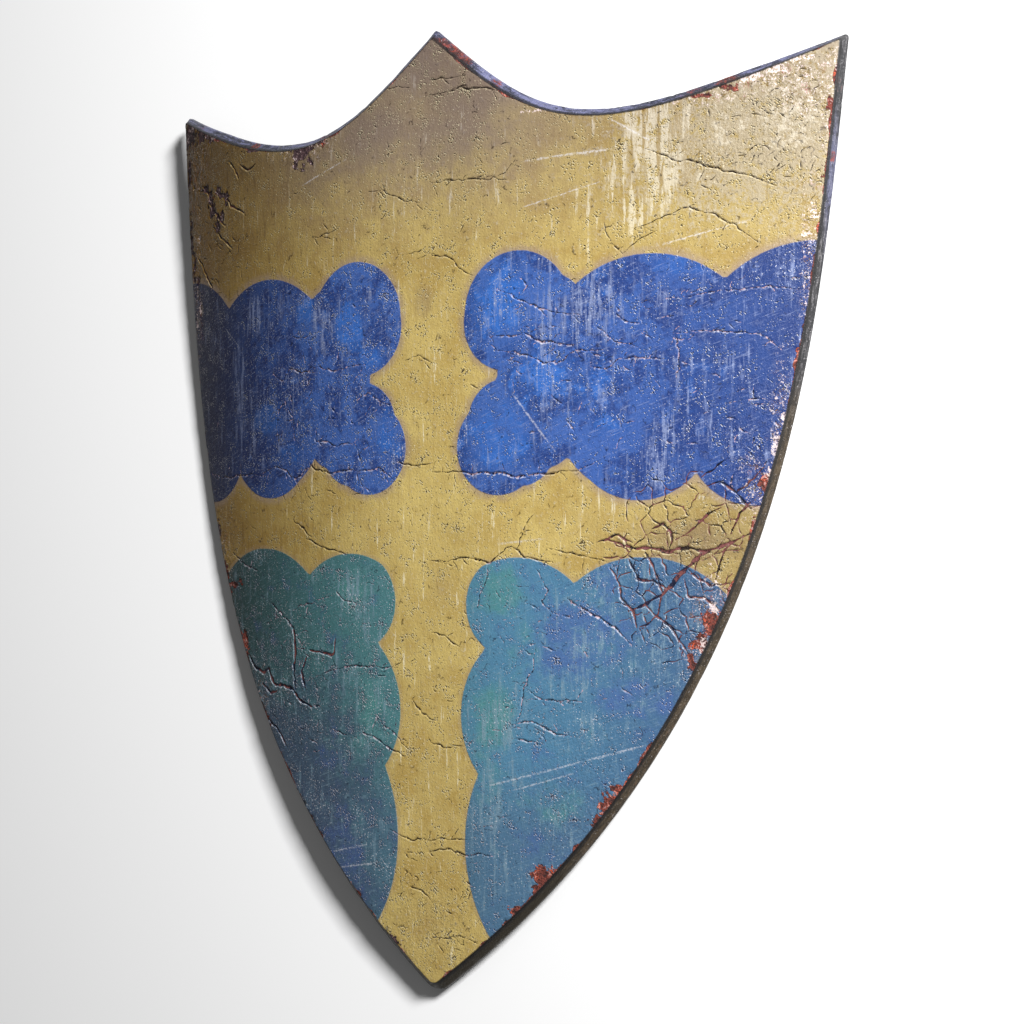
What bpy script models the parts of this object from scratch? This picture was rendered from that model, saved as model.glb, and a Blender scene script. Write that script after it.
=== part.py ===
# Heater shield: one steel board, bent round its upright crown line, with a double-dipped top,
# a centre peak, two ears, a rounded point and a bevelled rim. It lies loose on the floor,
# painted face up, peak towards +Y. Metres, +Z up, origin under the middle of the board.

import bmesh
import bpy
import math
import numpy as np

# Driving dimensions. The painted face is measured flat, before the board is bent, from the
# middle of its crown line.
FACE_HALF_WIDTH = 0.327      # crown line to the corner of an ear, along the bend
PEAK_RISE = 0.3725           # middle of the face up to the centre peak
EAR_RISE = 0.3470            # middle of the face up to the corners of the ears
POINT_DROP = 0.376           # middle of the face down to where its two sides would meet
POINT_RADIUS = 0.009         # rounding of the point at the bottom
CORNER_RADIUS = 0.0015       # rounding of the peak and of the ears
THICKNESS = 0.010            # face to back
BEVEL_WIDTH = 0.0065         # how far the rim stands out past the painted face, down the sides
TOP_BEVEL_WIDTH = 0.0058     # the same along the top
EAR_BEVEL_WIDTH = 0.0030     # the same where the top meets an ear
EAR_TAPER = 0.070            # stretch beside an ear along which the top bevel narrows
RIM_CORNER_RADIUS = 0.0025   # rounding of the rim at the peak and at the ears
RIM_WALL = 0.003             # square part of the rim, behind the bevel
BEND_RADIUS = 0.6670         # of the face, either side of the crown
CROWN_FLAT = 0.050           # flat strip down the crown, where a grip is riveted on behind
DIP_INNER_DROP = 0.083       # peak down to the handle of the dip beside it
DIP_OUTER_DROP = 0.0745      # ear down to the handle of the dip beside it

# Proportions of the free outline: where each handle stands, as a share of the half width and
# of the side's height, down from the ear.
DIP_INNER_SHARE = 0.304
DIP_OUTER_SHARE = 0.424
SHOULDER_WIDTH_SHARE = 0.930
SHOULDER_SIDE_SHARE = 0.302
BELLY_WIDTH_SHARE = 0.885
BELLY_SIDE_SHARE = 0.696

# Fineness of the facets.
TOP_STEPS = 22
SIDE_STEPS = 44
CORNER_STEPS = 6
STRIP_WIDTH = 0.0125         # width of one flat strip of the bend

PAINT_COLOR = (0.50, 0.38, 0.15, 1.0)
PAINT_ROUGHNESS = 0.5
PAINT_METALLIC = 0.2

ON_PLANE = 1e-5              # a point this near a strip's border counts as on it
FLIP = np.array((-1.0, 1.0))    # mirrors a flat point in the crown line


def bezier(start, handle_a, handle_b, end, steps):
    """Points of a cubic curve."""
    t = np.linspace(0.0, 1.0, steps + 1)[:, None]
    corners = [np.array(p) for p in (start, handle_a, handle_b, end)]
    return ((1 - t)**3 * corners[0] + 3 * (1 - t)**2 * t * corners[1]
            + 3 * (1 - t) * t**2 * corners[2] + t**3 * corners[3])


def round_corner(before, corner, after, radius):
    """Arc of the given radius between two straight edges that meet in a corner."""
    to_before = (before - corner) / np.linalg.norm(before - corner)
    to_after = (after - corner) / np.linalg.norm(after - corner)
    half_angle = 0.5 * math.acos(np.clip(to_before @ to_after, -1.0, 1.0))
    bisector = (to_before + to_after) / np.linalg.norm(to_before + to_after)
    centre = corner + bisector * radius / math.sin(half_angle)
    start = corner + to_before * radius / math.tan(half_angle) - centre
    across = corner + to_after * radius / math.tan(half_angle) - centre
    sweep = math.pi - 2.0 * half_angle
    side = (across - start * math.cos(sweep)) / math.sin(sweep)
    turn = np.linspace(0.0, sweep, CORNER_STEPS + 1)[:, None]
    return centre + start * np.cos(turn) + side * np.sin(turn)


def face_edges():
    """The right half of the painted face, laid flat: its top edge from the peak to the ear, and
    its side edge from there down to the point."""
    peak = (0.0, PEAK_RISE)
    ear = (FACE_HALF_WIDTH, EAR_RISE)
    point = (0.0, -POINT_DROP)
    side_height = EAR_RISE + POINT_DROP
    top = bezier(peak,
                 (DIP_INNER_SHARE * FACE_HALF_WIDTH, PEAK_RISE - DIP_INNER_DROP),
                 (DIP_OUTER_SHARE * FACE_HALF_WIDTH, EAR_RISE - DIP_OUTER_DROP),
                 ear, TOP_STEPS)
    side = bezier(ear,
                  (SHOULDER_WIDTH_SHARE * FACE_HALF_WIDTH,
                   EAR_RISE - SHOULDER_SIDE_SHARE * side_height),
                  (BELLY_WIDTH_SHARE * FACE_HALF_WIDTH,
                   EAR_RISE - BELLY_SIDE_SHARE * side_height),
                  point, SIDE_STEPS)
    return top, side


def rim_edges(top, side):
    """The same two edges moved out by the bevel, up to where they meet each other and their
    mirror images."""
    near_ear = np.clip(1.0 - (FACE_HALF_WIDTH - top[:, 0]) / EAR_TAPER, 0.0, 1.0)
    width = TOP_BEVEL_WIDTH + (EAR_BEVEL_WIDTH - TOP_BEVEL_WIDTH) * near_ear
    top_out = top + width[:, None] * mitre_normals(top)
    side_out = side + BEVEL_WIDTH * mitre_normals(side)
    top_out[0] = crossing(top_out[1], top_out[0], top_out[0] * FLIP, top_out[1] * FLIP)
    ear = crossing(top_out[-2], top_out[-1], side_out[1], side_out[0])
    top_out[-1], side_out[0] = ear, ear
    side_out[-1] = crossing(side_out[-2], side_out[-1], side_out[-1] * FLIP, side_out[-2] * FLIP)
    return top_out, side_out


def crossing(a, b, c, d):
    """Where the line through a and b meets the line through c and d."""
    along, other = b - a, d - c
    share = np.cross(c - a, other) / np.cross(along, other)
    return a + share * along


def outline(top, side, corner_radius, point_radius):
    """Closed line, clockwise from the peak, round both halves, with its corners rounded."""
    ear_arc = round_corner(top[-2], top[-1], side[1], corner_radius)
    peak_arc = round_corner(top[1] * FLIP, top[0], top[1], corner_radius)
    point_arc = round_corner(side[-2], side[-1], side[-2] * FLIP, point_radius)
    right_half = np.concatenate((top[1:-1], ear_arc, side[1:-1]))
    return np.concatenate((peak_arc, right_half, point_arc, right_half[::-1] * FLIP))


def mitre_normals(points):
    """Left-hand normal at each point of a line, long enough to keep offset edges parallel."""
    ahead = np.diff(points, axis=0)
    normal = np.stack((-ahead[:, 1], ahead[:, 0]), axis=1)
    normal /= np.linalg.norm(normal, axis=1)[:, None]
    ahead, behind = np.concatenate((normal, normal[-1:])), np.concatenate((normal[:1], normal))
    return (ahead + behind) / (1.0 + np.sum(ahead * behind, axis=1))[:, None]


def strip_borders():
    """Where the flat strips of the bend meet, measured across the flat face."""
    reach = FACE_HALF_WIDTH + BEVEL_WIDTH - CROWN_FLAT / 2
    count = math.ceil(reach / STRIP_WIDTH) + 1
    right = CROWN_FLAT / 2 + STRIP_WIDTH * np.arange(count)
    return np.concatenate((-right[::-1], right))


def bend(flat, borders):
    """Carries points (across, up, out of the face) of the flat board onto the bent one."""
    turn = np.clip(np.abs(borders) - CROWN_FLAT / 2, 0.0, None) / BEND_RADIUS
    across = np.sign(borders) * (CROWN_FLAT / 2 + BEND_RADIUS * np.sin(turn))
    drop = BEND_RADIUS * (np.cos(turn) - 1.0)
    section = np.stack((across, drop), axis=1)
    normals = mitre_normals(section)
    x = np.interp(flat[:, 0], borders, section[:, 0])
    z = np.interp(flat[:, 0], borders, section[:, 1])
    out_x = np.interp(flat[:, 0], borders, normals[:, 0])
    out_z = np.interp(flat[:, 0], borders, normals[:, 1])
    return np.stack((x + out_x * flat[:, 2], flat[:, 1], z + out_z * flat[:, 2]), axis=1)


def make_board():
    """The bent board as a closed mesh: painted face, bevel, square rim and back."""
    edges = face_edges()
    face = outline(*edges, CORNER_RADIUS, POINT_RADIUS)
    rim = outline(*rim_edges(*edges), RIM_CORNER_RADIUS, POINT_RADIUS + BEVEL_WIDTH)
    layers = ((face, 0.0), (rim, RIM_WALL - THICKNESS), (rim, -THICKNESS))
    mesh = bmesh.new()
    loops = [[mesh.verts.new((x, y, out)) for x, y in line] for line, out in layers]
    mesh.faces.new(loops[0][::-1])
    mesh.faces.new(loops[-1])
    for upper, lower in zip(loops[:-1], loops[1:]):
        for i in range(len(upper)):
            j = (i + 1) % len(upper)
            mesh.faces.new((upper[i], upper[j], lower[j], lower[i]))

    borders = strip_borders()
    for border in borders:
        everything = mesh.verts[:] + mesh.edges[:] + mesh.faces[:]
        bmesh.ops.bisect_plane(mesh, geom=everything, dist=ON_PLANE,
                               plane_co=(border, 0.0, 0.0), plane_no=(1.0, 0.0, 0.0))
    flat = np.array([vert.co[:] for vert in mesh.verts])
    for vert, place in zip(mesh.verts, bend(flat, borders)):
        vert.co = place
    bmesh.ops.triangulate(mesh, faces=mesh.faces[:])
    bmesh.ops.recalc_face_normals(mesh, faces=mesh.faces[:])
    return mesh


def centre_of_mass(mesh):
    """Centroid of the solid, from the tetrahedra under its triangles."""
    corners = np.array([[vert.co[:] for vert in face.verts] for face in mesh.faces])
    volumes = np.einsum('ij,ij->i', corners[:, 0], np.cross(corners[:, 1], corners[:, 2]))
    return (volumes[:, None] * corners.sum(axis=1)).sum(axis=0) / (4.0 * volumes.sum())


def resting_tilt(points, centre):
    """Pitch of the board lying loose: it rocks on its side edges until the stretch of edge
    under its centre of mass is level. That is the stretch of the lower hull, seen from the
    side, which lies nearest to the centre."""
    side_view = points[np.lexsort((points[:, 2], points[:, 1]))][:, 1:]
    hull = []
    for place in side_view:
        while len(hull) > 1 and np.cross(hull[-1] - hull[-2], place - hull[-1]) <= 0.0:
            hull.pop()
        hull.append(place)
    hull = np.array(hull)
    along = np.diff(hull, axis=0)
    lengths = np.linalg.norm(along, axis=1)
    heights = np.cross(along, centre[1:] - hull[:-1]) / lengths
    lowest = np.argmin(heights)
    return math.atan2(along[lowest, 1], along[lowest, 0])


def paint():
    material = bpy.data.materials.new("painted_steel")
    material.use_nodes = True
    shader = material.node_tree.nodes["Principled BSDF"]
    shader.inputs["Base Color"].default_value = PAINT_COLOR
    shader.inputs["Roughness"].default_value = PAINT_ROUGHNESS
    shader.inputs["Metallic"].default_value = PAINT_METALLIC
    return material


def main():
    for old in list(bpy.data.objects):
        bpy.data.objects.remove(old, do_unlink=True)

    board = make_board()
    points = np.array([vert.co[:] for vert in board.verts])
    tilt = resting_tilt(points, centre_of_mass(board))
    mesh = bpy.data.meshes.new("shield")
    board.to_mesh(mesh)
    board.free()
    mesh.materials.append(paint())
    mesh.shade_flat()

    shield = bpy.data.objects.new("shield", mesh)
    shield.rotation_euler = (-tilt, 0.0, 0.0)
    level = points @ np.array(shield.rotation_euler.to_matrix()).T
    low, high = level.min(axis=0), level.max(axis=0)
    middle = (low + high) / 2
    shield.location = (-middle[0], -middle[1], -low[2])
    bpy.context.scene.collection.objects.link(shield)


main()
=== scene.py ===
import math
from types import SimpleNamespace

import bpy
import numpy as np
from mathutils import Matrix, Vector
from mathutils.geometry import delaunay_2d_cdt


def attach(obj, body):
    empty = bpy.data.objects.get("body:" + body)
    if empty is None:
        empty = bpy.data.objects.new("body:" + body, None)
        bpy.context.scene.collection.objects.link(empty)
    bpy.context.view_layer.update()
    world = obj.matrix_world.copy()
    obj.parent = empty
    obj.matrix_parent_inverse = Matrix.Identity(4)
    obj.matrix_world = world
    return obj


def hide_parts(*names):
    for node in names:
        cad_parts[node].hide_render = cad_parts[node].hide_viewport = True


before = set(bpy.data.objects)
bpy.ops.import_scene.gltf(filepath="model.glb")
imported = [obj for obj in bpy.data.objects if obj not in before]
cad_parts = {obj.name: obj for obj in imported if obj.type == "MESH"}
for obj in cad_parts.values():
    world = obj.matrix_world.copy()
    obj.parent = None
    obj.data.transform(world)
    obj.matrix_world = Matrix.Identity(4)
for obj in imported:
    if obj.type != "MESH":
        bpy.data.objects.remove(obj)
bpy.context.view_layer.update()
mm = 0.001
flip = np.array((-1.0, 1.0))            # mirrors a flat place in the crown line

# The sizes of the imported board, which both pieces keep.
board = {
    "halfWidth": 0.327,
    "peakRise": 0.3725,
    "earRise": 0.347,
    "pointDrop": 0.376,
    "pointRadius": 0.009,
    "cornerRadius": 0.0015,
    "thickness": 0.010,
    "sideBevel": 0.0065,                # how far the rim stands out past the face
    "topBevel": 0.0058,
    "earBevel": 0.0030,
    "earTaper": 0.070,                  # stretch of the top along which it narrows to an ear
    "rimCornerRadius": 0.0025,
    "rimWall": 0.003,
    "bendRadius": 0.667,
    "crownFlat": 0.050,
    "dipInner": (0.304, 0.083),         # share of the half width, metres below the peak
    "dipOuter": (0.424, 0.0745),        # share of the half width, metres below the ear
    "shoulder": (0.930, 0.302),         # shares of the half width and of the side's height
    "belly": (0.885, 0.696),
    "edgeStep": 0.0016,                 # fineness along the edge
    "cornerSteps": 6,
    "tilt": math.radians(5.6843716),    # peak end up, resting on its two side edges
    "place": (0.0, -0.000445, 0.055617),
}


# Shapes and places on the flat board

def bezier(start, handleA, handleB, end, step):
    # Cubic curve: its four corners weighted by (1-t)^3, 3(1-t)^2 t, 3(1-t) t^2 and t^3, then
    # walked in even steps.
    t = np.linspace(0.0, 1.0, 400)[:, None]
    a, b, c, d = (np.array(p) for p in (start, handleA, handleB, end))
    line = (1 - t)**3 * a + 3 * (1 - t)**2 * t * b + 3 * (1 - t) * t**2 * c + t**3 * d
    return evenly(line, step)[0]


def evenly(line, step):
    # The same line with its points an even step apart, and the length walked up to each.
    walked = np.concatenate(([0.0], np.cumsum(np.linalg.norm(np.diff(line, axis=0), axis=1))))
    at = np.linspace(0.0, walked[-1], max(2, round(walked[-1] / step) + 1))
    return np.stack([np.interp(at, walked, line[:, k]) for k in range(2)], axis=1), at


def roundCorner(before, corner, after, radius):
    # Arc that touches both straight edges: centre on the bisector at radius / sin(half angle).
    toBefore = (before - corner) / np.linalg.norm(before - corner)
    toAfter = (after - corner) / np.linalg.norm(after - corner)
    halfAngle = 0.5 * math.acos(np.clip(toBefore @ toAfter, -1.0, 1.0))
    bisector = (toBefore + toAfter) / np.linalg.norm(toBefore + toAfter)
    centre = corner + bisector * radius / math.sin(halfAngle)
    start = corner + toBefore * radius / math.tan(halfAngle) - centre
    end = corner + toAfter * radius / math.tan(halfAngle) - centre
    sweep = math.pi - 2.0 * halfAngle
    side = (end - start * math.cos(sweep)) / math.sin(sweep)
    turn = np.linspace(0.0, sweep, board["cornerSteps"] + 1)[:, None]
    return centre + start * np.cos(turn) + side * np.sin(turn)


def faceEdges():
    # Top edge of the painted face from the peak to the right ear, and side edge from there down
    # to the point.
    width, sideHeight = board["halfWidth"], board["earRise"] + board["pointDrop"]
    peak, ear, point = (0.0, board["peakRise"]), (width, board["earRise"]), (0.0, -board["pointDrop"])
    (innerShare, innerDrop), (outerShare, outerDrop) = board["dipInner"], board["dipOuter"]
    top = bezier(peak, (innerShare * width, peak[1] - innerDrop),
                 (outerShare * width, ear[1] - outerDrop), ear, board["edgeStep"])
    handles = [(across * width, ear[1] - down * sideHeight)
               for across, down in (board["shoulder"], board["belly"])]
    side = bezier(ear, *handles, point, board["edgeStep"])
    return top, side


def rimEdges(top, side):
    # The same two edges moved out by the bevel's width, up to where they meet each other and
    # their mirror images. Along the top the width falls evenly towards the ear.
    nearEar = np.clip(1 - (board["halfWidth"] - top[:, 0]) / board["earTaper"], 0, 1)
    width = board["topBevel"] + (board["earBevel"] - board["topBevel"]) * nearEar
    top = top + width[:, None] * mitreNormals(top)
    side = side + board["sideBevel"] * mitreNormals(side)
    top[0] = crossing(top[1], top[0], top[0] * flip, top[1] * flip)
    top[-1] = side[0] = crossing(top[-2], top[-1], side[1], side[0])
    side[-1] = crossing(side[-2], side[-1], side[-1] * flip, side[-2] * flip)
    return top, side


def crossing(a, b, c, d):
    # Where the line through a and b meets the line through c and d: a plus so much of (b - a)
    # that the rest of the way lies along the second line.
    along, other, between = b - a, d - c, c - a
    share = ((between[0] * other[1] - between[1] * other[0])
             / (along[0] * other[1] - along[1] * other[0]))
    return a + share * along


def mitreNormals(line):
    # Left-hand normals of a line, long enough to keep offset edges parallel: the sum of both
    # neighbours' unit normals over one plus their product.
    ahead = np.diff(line, axis=0)
    normal = np.stack((-ahead[:, 1], ahead[:, 0]), axis=1)
    normal /= np.linalg.norm(normal, axis=1)[:, None]
    ahead, behind = np.concatenate((normal, normal[-1:])), np.concatenate((normal[:1], normal))
    return (ahead + behind) / (1.0 + np.sum(ahead * behind, axis=1))[:, None]


def outline(top, side, cornerRadius, pointRadius):
    # Closed line round both halves, clockwise from the peak, with its corners rounded.
    reach = round(board["pointRadius"] / board["edgeStep"])       # points lost to the rounding
    earArc = roundCorner(top[-3], top[-1], side[2], cornerRadius)
    peakArc = roundCorner(top[2] * flip, top[0], top[2], cornerRadius)
    pointArc = roundCorner(side[-reach - 1], side[-1], side[-reach - 1] * flip, pointRadius)
    rightHalf = np.concatenate((top[2:-2], earArc, side[2:-reach]))
    return np.concatenate((peakArc, rightHalf, pointArc, rightHalf[::-1] * flip))


def faceOutline():
    return outline(*faceEdges(), board["cornerRadius"], board["pointRadius"])


def rimOutline():
    return outline(*rimEdges(*faceEdges()), board["rimCornerRadius"],
                   board["pointRadius"] + board["sideBevel"])


def distanceIn(places):
    # How far each place lies inside the face's edge: the gap to the top edge above it and to the
    # side edge beside it, each times the cosine of that edge's slope.
    top, side = faceEdges()
    across = np.abs(places[:, 0])
    slope = np.gradient(top[:, 1], top[:, 0])
    gapUp = np.interp(across, top[:, 0], top[:, 1]) - places[:, 1]
    gapUp *= np.interp(across, top[:, 0], 1 / np.hypot(1, slope))
    lean = np.gradient(side[::-1, 0], side[::-1, 1])
    gapSide = np.interp(places[:, 1], side[::-1, 1], side[::-1, 0]) - across
    gapSide *= np.interp(places[:, 1], side[::-1, 1], 1 / np.hypot(1, lean))
    return np.minimum(gapUp, gapSide)


def bendBoard(flat):
    # Carries (across, up, out) of the flat board to where it lies. Past the flat crown strip the
    # face follows a circle: turn = arc / radius, across = radius sin(turn), drop = radius
    # (1 - cos(turn)), and out is laid off along the circle's own normal.
    half, radius = board["crownFlat"] / 2, board["bendRadius"]
    side = np.sign(flat[:, 0])
    turn = np.clip(np.abs(flat[:, 0]) - half, 0, None) / radius
    reach = np.minimum(np.abs(flat[:, 0]), half) + (radius + flat[:, 2]) * np.sin(turn)
    rise = (radius + flat[:, 2]) * np.cos(turn) - radius
    bent = np.stack((side * reach, flat[:, 1], rise), axis=1)
    return bent @ np.array(boardPlace().to_3x3()).T + np.array(boardPlace().translation)


def boardPlace():
    return Matrix.Translation(board["place"]) @ Matrix.Rotation(board["tilt"], 4, "X")


def smooth(low, high, value):
    # Rises from 0 at low to 1 at high as 3t^2 - 2t^3.
    t = np.clip((value - low) / (high - low), 0.0, 1.0)
    return t * t * (3.0 - 2.0 * t)


def valueNoise(places, wavelength, seed, octaves=1):
    # Random heights from -1 to 1 on a square lattice, blended between its corners by 3t^2 - 2t^3,
    # plus finer layers of half the wavelength and half the height each.
    rng, total, strength = np.random.default_rng(seed), 0.0, 1.0
    cells = 64                          # each way, before the lattice repeats
    for octave in range(octaves):
        heights = rng.uniform(-1, 1, (cells, cells))
        scaled = places / wavelength + 0.37 * octave
        corner = np.floor(scaled).astype(int)
        blend = scaled - corner
        blend = blend * blend * (3 - 2 * blend)
        i, j = corner.T % cells
        k, m = (i + 1) % cells, (j + 1) % cells
        low = heights[i, j] * (1 - blend[:, 0]) + heights[k, j] * blend[:, 0]
        high = heights[i, m] * (1 - blend[:, 0]) + heights[k, m] * blend[:, 0]
        total = total + strength * (low * (1 - blend[:, 1]) + high * blend[:, 1])
        wavelength, strength = wavelength / 2, strength / 2
    return total


# Painted quarters

# Lobes of the right-hand quarters in millimetres: centre across and up, and radius.
quarters = {
    "blueInner": ((77.2, 154.8, 46.4), (68.5, 147.7, 38.6), (62, 50.2, 37.4), (68, 70, 33), (82, 50, 30),
                  (101, 63, 29.5), (103, 106.5, 42), (128, 130, 38), (105, 152.4, 30)),
    "blueAbove": ((184.5, 103, 91), (309.7, 104, 96.5)),
    "blueBelow": ((179, 65.6, 56.3), (172.5, 75.4, 60), (267, 57, 51.5), (290, 71, 64)),
    "blueStart": 80,                    # the block between the upper and lower lobes
    "tealAbove": ((80, -105, 70), (184, -117, 84)),
    "tealBeside": ((73.5, -73, 39.6), (101.7, -159.4, 72.6), (158.9, -260.4, 126.6)),
    "sway": (-1.95, -130, 3e-5),        # the cross's middle line: its leftmost place, and its curve
}


def fromMiddle(places):
    # Distance across from the cross's middle line, which is a slight parabola, and height, in
    # millimetres.
    across, up = places[:, 0] / mm, places[:, 1] / mm
    left, low, curve = quarters["sway"]
    return np.abs(across - left - curve * (up - low)**2), up


def blueField(places):
    # How far inside the upper quarters, in millimetres: round lobes, joined to a block that is cut
    # above and below by lobes whose discs are drawn out downwards or upwards.
    across, up = fromMiddle(places)
    inner = [r - np.hypot(across - x, up - y) for x, y, r in quarters["blueInner"]]
    above = [r - np.hypot(across - x, np.maximum(up - y, 0)) for x, y, r in quarters["blueAbove"]]
    below = [r - np.hypot(across - x, np.minimum(up - y, 0)) for x, y, r in quarters["blueBelow"]]
    block = np.minimum(np.minimum(np.max(above, axis=0), np.max(below, axis=0)),
                       across - quarters["blueStart"])
    return np.maximum(np.max(inner, axis=0), block)


def tealField(places):
    # How far inside the lower quarters: lobes along the top drawn out downwards, and lobes
    # beside the cross drawn out sideways, and the lesser of the two.
    across, up = fromMiddle(places)
    above = [r - np.hypot(across - x, np.maximum(up - y, 0)) for x, y, r in quarters["tealAbove"]]
    beside = [r - np.hypot(np.minimum(across - x, 0), up - y) for x, y, r in quarters["tealBeside"]]
    return np.minimum(np.max(above, axis=0), np.max(beside, axis=0))


# Cracks

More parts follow.
